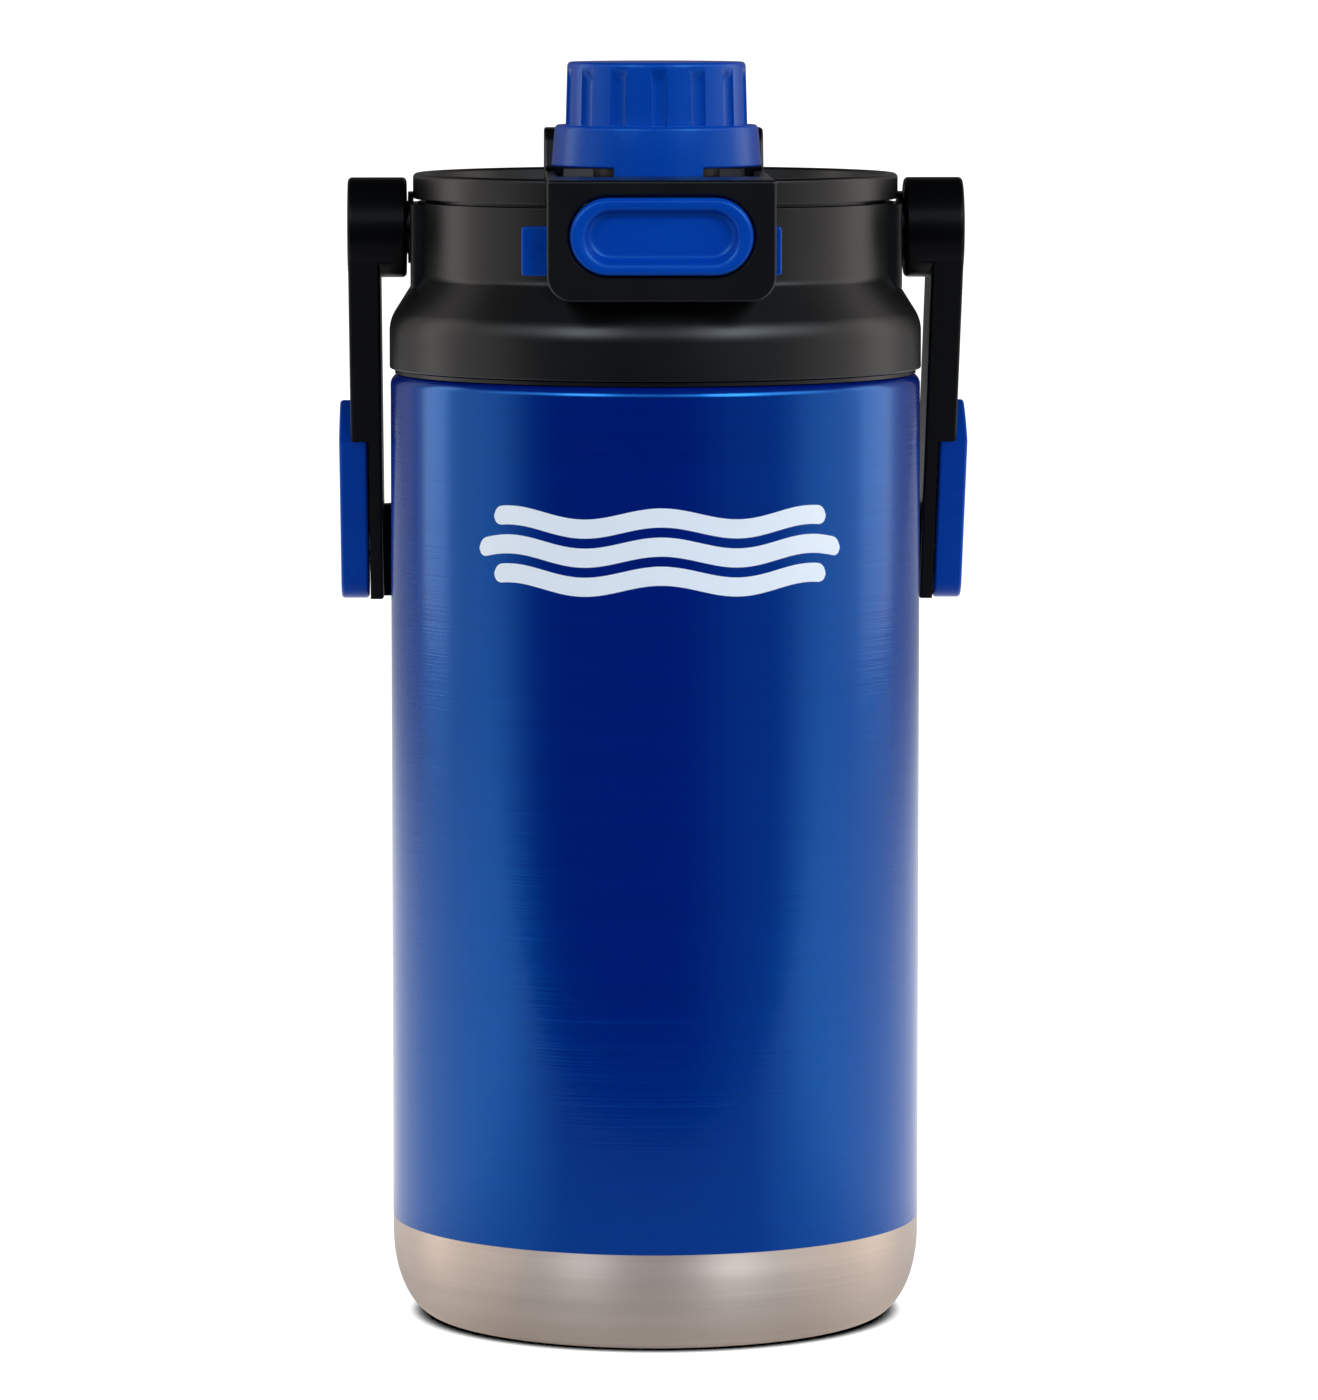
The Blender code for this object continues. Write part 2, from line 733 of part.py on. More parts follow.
def spout_hole(name, bottom, top):
    outline = circle(0, SPOUT_Y, SPOUT_HOLE, SPOUT_SEGMENTS)
    return prism(name, outline, "Z", bottom - CUTTER_MARGIN, top + CUTTER_MARGIN, "black_plastic")


def make_lid_top():
    outline = rounded([
        (0, LID_TOP_UNDERSIDE_Z, 0),
        (LID_TOP_SKIRT_RADIUS, LID_TOP_UNDERSIDE_Z, 0),
        (LID_TOP_SKIRT_RADIUS, RIM_BOTTOM_Z, 0),
        (RIM_RADIUS, RIM_BOTTOM_Z, 0),
        (RIM_RADIUS, RIM_TOP_Z, RIM_ROUND),
        (RIM_INNER_RADIUS, RIM_TOP_Z, RIM_ROUND),
        (DISH_RADIUS, DISH_Z, RIM_ROUND),
        (0, DISH_Z, 0),
    ])
    top = turned("lid_top", outline, BODY_SEGMENTS, "black_plastic")
    post_top = LID_TOP_UNDERSIDE_Z + (DISH_Z - LID_TOP_UNDERSIDE_Z) / 2
    join(top, screw_holes("screw_posts", SCREW_POST_RADIUS, SCREW_POST_BOTTOM_Z, post_top))
    screw_bore = SCREW_SHANK_RADIUS + SCREW_CLEARANCE
    bore_top = SCREW_TOP_Z + 2 * GAP
    bore_bottom = SCREW_POST_BOTTOM_Z - CUTTER_MARGIN
    cut(top, screw_holes("screw_bores", screw_bore, bore_bottom, bore_top))
    cut(top, spout_hole("top_spout_hole", LID_TOP_UNDERSIDE_Z, DISH_Z))
    cut(top, make_bridge_notch())
    return top


def make_bridge_notch():
    """Opening through the front of the rim, which the latch bridge fills."""
    half = BRIDGE_HALF_WIDTH + NOTCH_CLEARANCE
    outline = rectangle(-half, -RIM_RADIUS - CUTTER_MARGIN, half, BRIDGE_DECK_END_Y)
    return prism("bridge_notch", outline, "Z", DISH_Z, RIM_TOP_Z + CUTTER_MARGIN, "black_plastic")


def make_lid_liner():
    outline = [
        (0, LID_LINER_CEILING_Z),
        (LID_LINER_ROOT, LID_LINER_CEILING_Z),
        (LID_LINER_ROOT, LID_LINER_BOTTOM_Z),
        (LID_LINER_RADIUS, LID_LINER_BOTTOM_Z),
        (LID_LINER_RADIUS, LID_LINER_SLOPE_Z),
        (LID_LINER_SLOPE_RADIUS, LID_LINER_TOP_Z),
        (0, LID_LINER_TOP_Z),
    ]
    liner = turned("lid_liner", outline, BODY_SEGMENTS, "black_plastic")
    between_starts = THREAD_LEAD / THREAD_STARTS / 2
    join(liner, make_thread("lid_thread", LID_LINER_ROOT, True, 15, between_starts))
    screw_hole = SCREW_SHANK_RADIUS + SCREW_CLEARANCE
    low = LID_LINER_CEILING_Z - CUTTER_MARGIN
    high = LID_LINER_TOP_Z + CUTTER_MARGIN
    cut(liner, screw_holes("liner_screw_holes", screw_hole, low, high))
    cut(liner, spout_hole("liner_spout_hole", LID_LINER_CEILING_Z, LID_LINER_TOP_Z))
    return liner


def make_lid_gasket():
    outline = rounded([
        (GASKET_INNER, GASKET_BOTTOM_Z, GASKET_ROUND),
        (GASKET_OUTER, GASKET_BOTTOM_Z, GASKET_ROUND),
        (GASKET_OUTER, GASKET_TOP_Z, GASKET_ROUND),
        (GASKET_INNER, GASKET_TOP_Z, GASKET_ROUND),
    ], 1)
    return turned("lid_gasket", outline, HIDDEN_SEGMENTS, "clear_seal")


def make_lid_insulation():
    outline = [
        (0, INSULATION_BOTTOM_Z),
        (INSULATION_RADIUS, INSULATION_BOTTOM_Z),
        (INSULATION_RADIUS, INSULATION_TOP_Z),
        (0, INSULATION_TOP_Z),
    ]
    puck = turned("lid_insulation", outline, HIDDEN_SEGMENTS, "white_foam")
    hole = SCREW_POST_RADIUS + SCREW_CLEARANCE
    low = INSULATION_BOTTOM_Z - CUTTER_MARGIN
    high = INSULATION_TOP_Z + CUTTER_MARGIN
    cut(puck, screw_holes("insulation_post_holes", hole, low, high))
    cut(puck, spout_hole("insulation_spout_hole", INSULATION_BOTTOM_Z, INSULATION_TOP_Z))
    seat = circle(0, SPOUT_Y, SPOUT_RING_SEAT, SPOUT_SEGMENTS)
    seat_top = INSULATION_BOTTOM_Z + SPOUT_RING_SEAT_HEIGHT
    cut(puck, prism("ring_seat", seat, "Z", low, seat_top, "white_foam"))
    return puck


def make_liner_screws():
    screws = []
    head_top = LID_LINER_CEILING_Z - GAP
    outline = [
        (0, head_top - SCREW_HEAD_HEIGHT),
        (SCREW_HEAD_RADIUS, head_top - SCREW_HEAD_HEIGHT),
        (SCREW_HEAD_RADIUS, head_top),
        (SCREW_SHANK_RADIUS, head_top),
        (SCREW_SHANK_RADIUS, SCREW_TOP_Z),
        (0, SCREW_TOP_Z),
    ]
    for index, x, y in screw_places():
        name = "liner_screw_" + str(index + 1)
        screws.append(turned(name, outline, PIN_SEGMENTS, "spring_steel", (x, y, 0)))
    return screws


# ---------------------------------------------------------------- spout and flip cap

def make_spout():
    bottom_flange = DISH_Z + GAP
    outline = rounded([
        (SPOUT_BORE, SPOUT_BOTTOM_Z, 0),
        (SPOUT_RADIUS, SPOUT_BOTTOM_Z, 0),
        (SPOUT_RADIUS, bottom_flange, 0),
        (SPOUT_FLANGE_RADIUS, bottom_flange, 0),
        (SPOUT_FLANGE_RADIUS, SPOUT_FLANGE_TOP_Z, 0),
        (SPOUT_RADIUS, SPOUT_FLANGE_TOP_Z, 0),
        (SPOUT_RADIUS, SPOUT_TOP_Z, SPOUT_LIP),
        (SPOUT_BORE, SPOUT_TOP_Z, SPOUT_LIP),
    ], 2)
    return turned("spout", outline, SPOUT_SEGMENTS, "black_plastic", (0, SPOUT_Y, 0))


def make_spout_ring():
    inner = SPOUT_RADIUS + GAP
    radius = (SPOUT_RING_OUTER - inner) / 2
    height = LID_LINER_TOP_Z + GAP + radius
    outline = circle(inner + radius, height, radius, RING_SEGMENTS)
    return turned("spout_ring", outline, SPOUT_SEGMENTS, "clear_seal", (0, SPOUT_Y, 0))


def make_flip_cap():
    outline = rounded([
        (CAP_INNER_RADIUS, CAP_FLANGE_BOTTOM_Z, 0),
        (CAP_FLANGE_BOTTOM_RADIUS, CAP_FLANGE_BOTTOM_Z, 0),
        (CAP_FLANGE_TOP_RADIUS, CAP_FLANGE_TOP_Z, CAP_FLANGE_ROUND),
        (CAP_DOME_BOTTOM_RADIUS, CAP_FLANGE_TOP_Z, 0),
        (CAP_DOME_TOP_RADIUS, CAP_TOP_Z, CAP_TOP_ROUND),
        (0, CAP_TOP_Z, 0),
    ], 2)
    outline = [(0, CAP_CEILING_Z), (CAP_INNER_RADIUS, CAP_CEILING_Z)] + outline
    cap = turned("flip_cap", outline, RIBBED_SEGMENTS, "blue_plastic", (0, SPOUT_Y, 0))
    join(cap, make_cap_tab())
    join(cap, make_hinge_lug())
    cut(cap, make_rib_grooves())
    cut(cap, make_lug_slot())
    cut(cap, make_pin_bore("cap_pin_bore", HINGE_LUG_HALF_WIDTH + CUTTER_MARGIN))
    return cap


def make_cap_tab():
    outline = [
        (-TAB_HALF_WIDTH_BOTTOM, TAB_BOTTOM_Z),
        (TAB_HALF_WIDTH_BOTTOM, TAB_BOTTOM_Z),
        (TAB_HALF_WIDTH_TOP, TAB_TOP_Z),
        (-TAB_HALF_WIDTH_TOP, TAB_TOP_Z),
    ]
    front = SPOUT_Y - CAP_FLANGE_BOTTOM_RADIUS
    return prism("cap_tab", outline, "Y", front, front + TAB_THICKNESS, "blue_plastic")


def make_hinge_lug():
    """Arm from the cap's rear to the hinge, ending round the pin."""
    outline = [Vector((HINGE_LUG_START_Y, CAP_FLANGE_BOTTOM_Z + GAP))]
    outline += ellipse_arc(
        HINGE_Y, HINGE_Z, HINGE_KNUCKLE_RADIUS, HINGE_KNUCKLE_RADIUS, -100, 90, SLOT_STEPS,
    )
    outline.append(Vector((HINGE_LUG_START_Y, HINGE_Z + HINGE_KNUCKLE_RADIUS)))
    lug = prism("hinge_lug", outline, "X", -HINGE_LUG_HALF_WIDTH, HINGE_LUG_HALF_WIDTH, "blue_plastic")
    hollow = circle(0, SPOUT_Y, CAP_INNER_RADIUS, BODY_SEGMENTS)
    low = CAP_FLANGE_BOTTOM_Z - CUTTER_MARGIN
    cut(lug, prism("lug_hollow", hollow, "Z", low, CAP_TOP_Z, "blue_plastic"))
    return lug


def make_lug_slot():
    """Middle of the hinge left free for the torsion spring."""
    far = HINGE_Y + HINGE_KNUCKLE_RADIUS + CUTTER_MARGIN
    low = HINGE_Z - HINGE_KNUCKLE_RADIUS - CUTTER_MARGIN
    high = HINGE_Z + HINGE_KNUCKLE_RADIUS + CUTTER_MARGIN
    outline = rectangle(HINGE_SLOT_START_Y, low, far, high)
    half = HINGE_SLOT_HALF_WIDTH
    return prism("lug_slot", outline, "X", -half, half, "blue_plastic")


def make_pin_bore(name, half_length):
    outline = circle(HINGE_Y, HINGE_Z, HINGE_PIN_RADIUS + SCREW_CLEARANCE, PIN_SEGMENTS)
    return prism(name, outline, "X", -half_length, half_length, "blue_plastic")


def make_rib_grooves():
    """Rounded grooves round the cap's dome, one of them at the front."""
    shape = bmesh.new()
    radius = RIB_GROOVE_WIDTH / 2
    distance = CAP_DOME_BOTTOM_RADIUS - RIB_GROOVE_DEPTH + radius
    for index in range(RIB_GROOVES):
        angle = math.radians(-90 + 360 * index / RIB_GROOVES)
        x = distance * math.cos(angle)
        y = SPOUT_Y + distance * math.sin(angle)
        add_prism(shape, circle(x, y, radius, PIN_SEGMENTS), "Z", CAP_FLANGE_TOP_Z, RIB_GROOVE_TOP_Z)
    return finish_mesh("rib_grooves", shape, "blue_plastic")


def make_cap_seal():
    outline = rounded([
        (0, CAP_SEAL_BOTTOM_Z, 0),
        (CAP_SEAL_RADIUS, CAP_SEAL_BOTTOM_Z, GASKET_ROUND),
        (CAP_SEAL_RADIUS, CAP_SEAL_TOP_Z, 0),
        (0, CAP_SEAL_TOP_Z, 0),
    ], 1)
    return turned("cap_seal", outline, SPOUT_SEGMENTS, "clear_seal", (0, SPOUT_Y, 0))


def make_hinge_pin():
    outline = circle(HINGE_Y, HINGE_Z, HINGE_PIN_RADIUS, PIN_SEGMENTS)
    half = HINGE_PIN_HALF_LENGTH
    return prism("hinge_pin", outline, "X", -half, half, "spring_steel")


def make_cap_spring():
    centre = (0, HINGE_Y, HINGE_Z)
    return coil("cap_spring", centre, "X", CAP_SPRING_RADIUS, CAP_SPRING_WIRE, CAP_SPRING_TURNS,
                CAP_SPRING_LENGTH)


# ---------------------------------------------------------------- latch, button and lock

def make_latch_bridge():
    side = rounded([
        (BRIDGE_FRONT_Y, BRIDGE_BOTTOM_Z - CUTTER_MARGIN, 0),
        (BRIDGE_FRONT_Y, BRIDGE_TOP_Z, BRIDGE_TOP_CORNER),
        (EAR_FRONT_Y, BRIDGE_TOP_Z, 0),
        (EAR_TOP_FRONT_Y, EAR_TOP_Z, EAR_ROUND),
        (EAR_TOP_REAR_Y, EAR_TOP_Z, EAR_ROUND),
        (RAIL_END_Y, BRIDGE_TOP_Z, 0),
        (RAIL_END_Y, RAIL_BOTTOM_Z, 0),
        (BRIDGE_HOUSING_END_Y, RAIL_BOTTOM_Z, 0),
        (BRIDGE_HOUSING_END_Y, BRIDGE_BOTTOM_Z - CUTTER_MARGIN, 0),
    ], 2)
    wide = BRIDGE_HALF_WIDTH + CUTTER_MARGIN
    bridge = prism("latch_bridge", side, "X", -wide, wide, "black_plastic")
    front = rounded([
        (-BRIDGE_HALF_WIDTH, BRIDGE_BOTTOM_Z, BRIDGE_CORNER),
        (BRIDGE_HALF_WIDTH, BRIDGE_BOTTOM_Z, BRIDGE_CORNER),
        (BRIDGE_HALF_WIDTH, EAR_TOP_Z + CUTTER_MARGIN, 0),
        (-BRIDGE_HALF_WIDTH, EAR_TOP_Z + CUTTER_MARGIN, 0),
    ], 4)
    front_y = BRIDGE_FRONT_Y - CUTTER_MARGIN
    rear_y = RAIL_END_Y + CUTTER_MARGIN
    combine(bridge, prism("bridge_front", front, "Y", front_y, rear_y, "black_plastic"), "INTERSECT")
    cut(bridge, make_bridge_hollow())
    cut(bridge, make_ear_gap())
    cut(bridge, make_collar_room())
    button_hole = stadium(
        0, BUTTON_Z, BUTTON_HALF_WIDTH + BUTTON_HOLE_CLEARANCE, BUTTON_HALF_HEIGHT + BUTTON_HOLE_CLEARANCE,
        SLOT_STEPS,
    )
    hole_end = BRIDGE_FRONT_Y + BRIDGE_WALL + CUTTER_MARGIN / 2
    cut(bridge, prism("button_hole", button_hole, "Y", front_y, hole_end, "black_plastic"))
    slot = rectangle(LOCK_FRONT_Y - GAP, LOCK_BOTTOM_Z - GAP, LOCK_BACK_Y + GAP, LOCK_TOP_Z + GAP)
    cut(bridge, prism("lock_slot", slot, "X", -wide, wide, "black_plastic"))
    cut(bridge, make_pin_bore("ear_pin_bore", wide))
    return bridge


def make_bridge_hollow():
    """Inside of the housing and the free space between the rails."""
    inner_bottom = BRIDGE_BOTTOM_Z + BRIDGE_WALL
    inner_top = BRIDGE_TOP_Z - BRIDGE_WALL
    high = EAR_TOP_Z + CUTTER_MARGIN
    outline = [
        (BRIDGE_FRONT_Y + BRIDGE_WALL, inner_bottom),
        (BRIDGE_FRONT_Y + BRIDGE_WALL, inner_top),
        (BRIDGE_DECK_END_Y, inner_top),
        (BRIDGE_DECK_END_Y, high),
        (EAR_FRONT_Y - GAP, high),
        (EAR_FRONT_Y - GAP, inner_bottom),
    ]
    half = BRIDGE_HALF_WIDTH - BRIDGE_WALL
    return prism("bridge_hollow", outline, "X", -half, half, "black_plastic")


def make_ear_gap():
    """Space between the hinge ears."""
    low = RAIL_BOTTOM_Z - CUTTER_MARGIN
    far = RAIL_END_Y + CUTTER_MARGIN
    outline = rectangle(EAR_FRONT_Y - CUTTER_MARGIN, low, far, EAR_TOP_Z + CUTTER_MARGIN)
    return prism("ear_gap", outline, "X", -EAR_INNER_X, EAR_INNER_X, "black_plastic")


def make_collar_room():
    """Room for the lid collar, a clearance larger than the collar and solid below the dish."""
    outer = collar_outline(GAP, COLLAR_BOTTOM_Z, COLLAR_TOP_Z + GAP)
    inner = [
        (WAIST_RADIUS - COLLAR_WALL - GAP, COLLAR_TOP_Z + GAP, 0),
        (WAIST_RADIUS - COLLAR_WALL - GAP, DISH_Z, 0),
        (0, DISH_Z, 0),
    ]
    outline = rounded([(0, COLLAR_BOTTOM_Z, 0)] + outer + inner)
    return turned("collar_room", outline, BODY_SEGMENTS, "black_plastic")


def make_push_button():
    """Button face, the plate under the deck and the frame round the cap's tab."""
    face = stadium(0, BUTTON_Z, BUTTON_HALF_WIDTH, BUTTON_HALF_HEIGHT, SLOT_STEPS)
    button = prism("push_button", face, "Y", BUTTON_FRONT_Y, BUTTON_BACK_Y, "blue_plastic")
    frame = rectangle(-FRAME_HALF_WIDTH, BUTTON_BACK_Y - BRIDGE_WALL / 2, FRAME_HALF_WIDTH, FRAME_REAR_Y)
    join(button, prism("latch_frame", frame, "Z", FRAME_BOTTOM_Z, FRAME_TOP_Z, "blue_plastic"))
    window = rectangle(
        -FRAME_WINDOW_HALF_WIDTH, FRAME_WINDOW_FRONT_Y, FRAME_WINDOW_HALF_WIDTH, FRAME_WINDOW_REAR_Y,
    )
    low = FRAME_BOTTOM_Z - CUTTER_MARGIN
    high = FRAME_TOP_Z + CUTTER_MARGIN
    cut(button, prism("frame_window", window, "Z", low, high, "blue_plastic"))
    dish = stadium(0, BUTTON_Z, BUTTON_DISH_HALF_WIDTH, BUTTON_DISH_HALF_HEIGHT, SLOT_STEPS)
    dish_front = BUTTON_FRONT_Y - CUTTER_MARGIN
    dish_floor = BUTTON_FRONT_Y + BUTTON_DISH_DEPTH
    cut(button, prism("button_dish", dish, "Y", dish_front, dish_floor, "blue_plastic"))
    return button


def make_button_spring():
    near = BUTTON_BACK_Y + GAP + BUTTON_SPRING_WIRE
    far = -WAIST_RADIUS - GAP - BUTTON_SPRING_WIRE
    centre = (0, (near + far) / 2, BUTTON_SPRING_Z)
    return coil("button_spring", centre, "Y", BUTTON_SPRING_RADIUS, BUTTON_SPRING_WIRE,
                BUTTON_SPRING_TURNS, far - near)


def make_lock_slider():
    outline = rectangle(LOCK_LEFT_X, LOCK_BOTTOM_Z, LOCK_RIGHT_X, LOCK_TOP_Z)
    slider = prism("lock_slider", outline, "Y", LOCK_FRONT_Y, LOCK_BACK_Y, "blue_plastic")
    soften(slider, LOCK_EDGE)
    window = rectangle(
        -LOCK_WINDOW_HALF_WIDTH - LOCK_TRAVEL, LOCK_WINDOW_BOTTOM_Z,
        LOCK_WINDOW_HALF_WIDTH, LOCK_WINDOW_TOP_Z,
    )
    near = LOCK_FRONT_Y - CUTTER_MARGIN
    far = LOCK_BACK_Y + CUTTER_MARGIN
    cut(slider, prism("lock_window", window, "Y", near, far, "blue_plastic"))
    return slider


# ---------------------------------------------------------------- handle

def arm_point(along, across):
    """Point (y, z) of an arm, measured from the pivot down the arm and towards its rear edge."""
    lean = math.radians(ARM_LEAN_DEGREES)
    y = along * math.sin(lean) + across * math.cos(lean)
    z = PIVOT_Z - along * math.cos(lean) + across * math.sin(lean)
    return Vector((y, z))


def arm_outline():
    """Straight leaning edges from a hollow end inside the pivot boss down to a level bottom."""
    lean = math.radians(ARM_LEAN_DEGREES)
    front_along = (PIVOT_Z - ARM_HALF_WIDTH * math.sin(lean) - GRIP_BOTTOM_Z) / math.cos(lean)
    rear_along = (GRIP_END_Y - ARM_HALF_WIDTH * math.cos(lean)) / math.sin(lean)
    outline = [arm_point(0, ARM_HALF_WIDTH)]
    for step in range(ARM_ROOT_STEPS + 1):
        angle = math.radians(180 * step / ARM_ROOT_STEPS)
        outline.append(arm_point(ARM_ROOT_RADIUS * math.sin(angle), ARM_ROOT_RADIUS * math.cos(angle)))
    outline.append(arm_point(0, -ARM_HALF_WIDTH))
    outline.append(arm_point(front_along, -ARM_HALF_WIDTH))
    outline.append(Vector((GRIP_END_Y, GRIP_BOTTOM_Z)))
    outline.append(arm_point(rear_along, ARM_HALF_WIDTH))
    return outline


def hook_frame_point(up, across):
    """Point (y, z) measured from the hook's pin up the arm and towards its rear edge."""
    return arm_point(HOOK_PIN_ALONG - up, HOOK_PIN_ACROSS + across)


def arc_about_pin(radius, first, last, steps):
    """Arc about the hook's pin, with angles measured from the line that runs up the arm."""
    points = []
    for step in range(steps + 1):
        angle = first + (last - first) * step / steps
        points.append(hook_frame_point(radius * math.cos(angle), radius * math.sin(angle)))
    return points


def hook_outline():
    """Half round about the pin at one end, and an arc about the same pin at the other."""
    right_angle = math.radians(90)
    spread = math.asin(HOOK_HALF_WIDTH / HOOK_LENGTH)
    outline = arc_about_pin(HOOK_HALF_WIDTH, right_angle, 3 * right_angle, SLOT_STEPS)
    outline += arc_about_pin(HOOK_LENGTH, -spread, spread, HOOK_ARC_STEPS)
    return outline


def make_arm(side):
    name = "arm_" + side_name(side)
    return prism(name, arm_outline(), "X", side * ARM_INNER_X, side * ARM_OUTER_X, "black_plastic")


def make_boss(side):
    """Pivot boss with its stepped hole for the stub, washer, screw head and cover."""
    edge = BOSS_EDGE
    outline = [
        (BOSS_BORE_RADIUS, side * BOSS_INNER_X),
        (BOSS_RADIUS - edge / 2, side * BOSS_INNER_X),
        (BOSS_RADIUS, side * (BOSS_INNER_X + edge / 2)),
        (BOSS_RADIUS, side * (BOSS_OUTER_X - edge)),
        (BOSS_RADIUS - edge, side * BOSS_OUTER_X),
        (BOSS_COUNTERBORE_RADIUS, side * BOSS_OUTER_X),
        (BOSS_COUNTERBORE_RADIUS, side * BOSS_COUNTERBORE_X),
        (BOSS_BORE_RADIUS, side * BOSS_COUNTERBORE_X),
    ]
    name = "boss_" + side_name(side)
    return turned(name, outline, SMALL_SEGMENTS, "black_plastic", (0, 0, PIVOT_Z), "X")


def grip_outline():
    """Plan of the grip band, which curves round behind the body from one arm to the other."""
    first = math.degrees(math.asin((GRIP_START_Y - GRIP_OUTER_START_Y) / GRIP_OUTER_DEPTH))
    outer = ellipse_arc(
        0, GRIP_OUTER_START_Y, GRIP_OUTER_X, GRIP_OUTER_DEPTH, first, 180 - first, GRIP_STEPS,
    )
    first = math.degrees(math.asin((GRIP_START_Y - GRIP_INNER_START_Y) / GRIP_INNER_DEPTH))
    inner = ellipse_arc(
        0, GRIP_INNER_START_Y, GRIP_INNER_X, GRIP_INNER_DEPTH, 180 - first, first, GRIP_STEPS,
    )
    return outer + inner


def make_recess(side):
    """Outer side of the arm, cut away for the hook to lie in and swing out of."""
    top = HOOK_LENGTH + RECESS_CLEARANCE
    rear = HOOK_HALF_WIDTH + RECESS_CLEARANCE
    outline = [hook_frame_point(-RECESS_BELOW, -RECESS_FRONT), hook_frame_point(-RECESS_BELOW, rear)]
    outline += arc_about_pin(top, math.asin(rear / top), -math.asin(RECESS_FRONT / top), HOOK_ARC_STEPS)
    name = "recess_" + side_name(side)
    far = ARM_OUTER_X + CUTTER_MARGIN
    return prism(name, outline, "X", side * RECESS_FLOOR_X, side * far, "black_plastic")


def bore(name, y, z, radius, side, near, far):
    outline = circle(y, z, radius, SMALL_SEGMENTS)
    return prism(name, outline, "X", side * near, side * far, "black_plastic")


def make_handle():
    handle = prism("handle", grip_outline(), "Z", GRIP_BOTTOM_Z, GRIP_TOP_Z, "black_plastic")
    soften(handle, GRIP_EDGE)
    pin_y, pin_z = hook_frame_point(0, 0)
    for side in (-1, 1):
        word = side_name(side)
        join(handle, make_arm(side))
        join(handle, make_boss(side))
        cut(handle, make_recess(side))
        near = ARM_INNER_X - CUTTER_MARGIN
        far = ARM_OUTER_X + CUTTER_MARGIN
        cut(handle, bore("arm_pin_hole_" + word, pin_y, pin_z, HOOK_PIN_HOLE, side, near, far))
    return handle


def make_hook(side):
    word = side_name(side)
    inner = side * HOOK_INNER_X
    outer = side * HOOK_OUTER_X
    hook = prism("hook_" + word, hook_outline(), "X", inner, outer, "blue_plastic")
    soften(hook, HOOK_EDGE)
    pin_y, pin_z = hook_frame_point(0, 0)
    near = HOOK_INNER_X - CUTTER_MARGIN
    far = HOOK_OUTER_X + CUTTER_MARGIN
    cut(hook, bore("hook_pin_hole_" + word, pin_y, pin_z, HOOK_PIN_HOLE, side, near, far))
    cut(hook, bore("hook_pin_seat_" + word, pin_y, pin_z, HOOK_PIN_SEAT_RADIUS, side, HOOK_PIN_SEAT_X, far))
    return hook


def make_hook_pin(side):
    pin_y, pin_z = hook_frame_point(0, 0)
    outline = [
        (0, side * HOOK_PIN_INNER_X),
        (HOOK_PIN_RADIUS, side * HOOK_PIN_INNER_X),
        (HOOK_PIN_RADIUS, side * HOOK_PIN_HEAD_X),
        (HOOK_PIN_HEAD_RADIUS, side * HOOK_PIN_HEAD_X),
        (HOOK_PIN_HEAD_RADIUS, side * HOOK_PIN_HEAD_END_X),
        (0, side * HOOK_PIN_HEAD_END_X),
    ]
    name = "hook_pin_" + side_name(side)
    return turned(name, outline, PIN_SEGMENTS, "spring_steel", (0, pin_y, pin_z), "X")


def make_pivot_cover(side):
    outline = circle(0, PIVOT_Z, PIVOT_COVER_RADIUS, SMALL_SEGMENTS)
    name = "pivot_cover_" + side_name(side)
    return prism(name, outline, "X", side * PIVOT_COVER_NEAR_X, side * PIVOT_COVER_FAR_X, "black_plastic")


def make_pivot_washer(side):
    outline = [
        (STUB_BORE_RADIUS, side * PIVOT_WASHER_NEAR_X),
        (PIVOT_WASHER_RADIUS, side * PIVOT_WASHER_NEAR_X),
        (PIVOT_WASHER_RADIUS, side * PIVOT_WASHER_FAR_X),
        (STUB_BORE_RADIUS, side * PIVOT_WASHER_FAR_X),
    ]
    name = "pivot_washer_" + side_name(side)
    return turned(name, outline, SMALL_SEGMENTS, "spring_steel", (0, 0, PIVOT_Z), "X")


def make_pivot_screw(side):
    outline = [
        (0, side * PIVOT_SCREW_TIP_X),
        (PIVOT_SCREW_RADIUS, side * PIVOT_SCREW_TIP_X),
        (PIVOT_SCREW_RADIUS, side * PIVOT_SCREW_HEAD_X),
        (PIVOT_SCREW_HEAD_RADIUS, side * PIVOT_SCREW_HEAD_X),
        (PIVOT_SCREW_HEAD_RADIUS, side * PIVOT_SCREW_HEAD_END_X),
        (0, side * PIVOT_SCREW_HEAD_END_X),
    ]
    name = "pivot_screw_" + side_name(side)
    return turned(name, outline, PIN_SEGMENTS, "spring_steel", (0, 0, PIVOT_Z), "X")


# ---------------------------------------------------------------- assembly

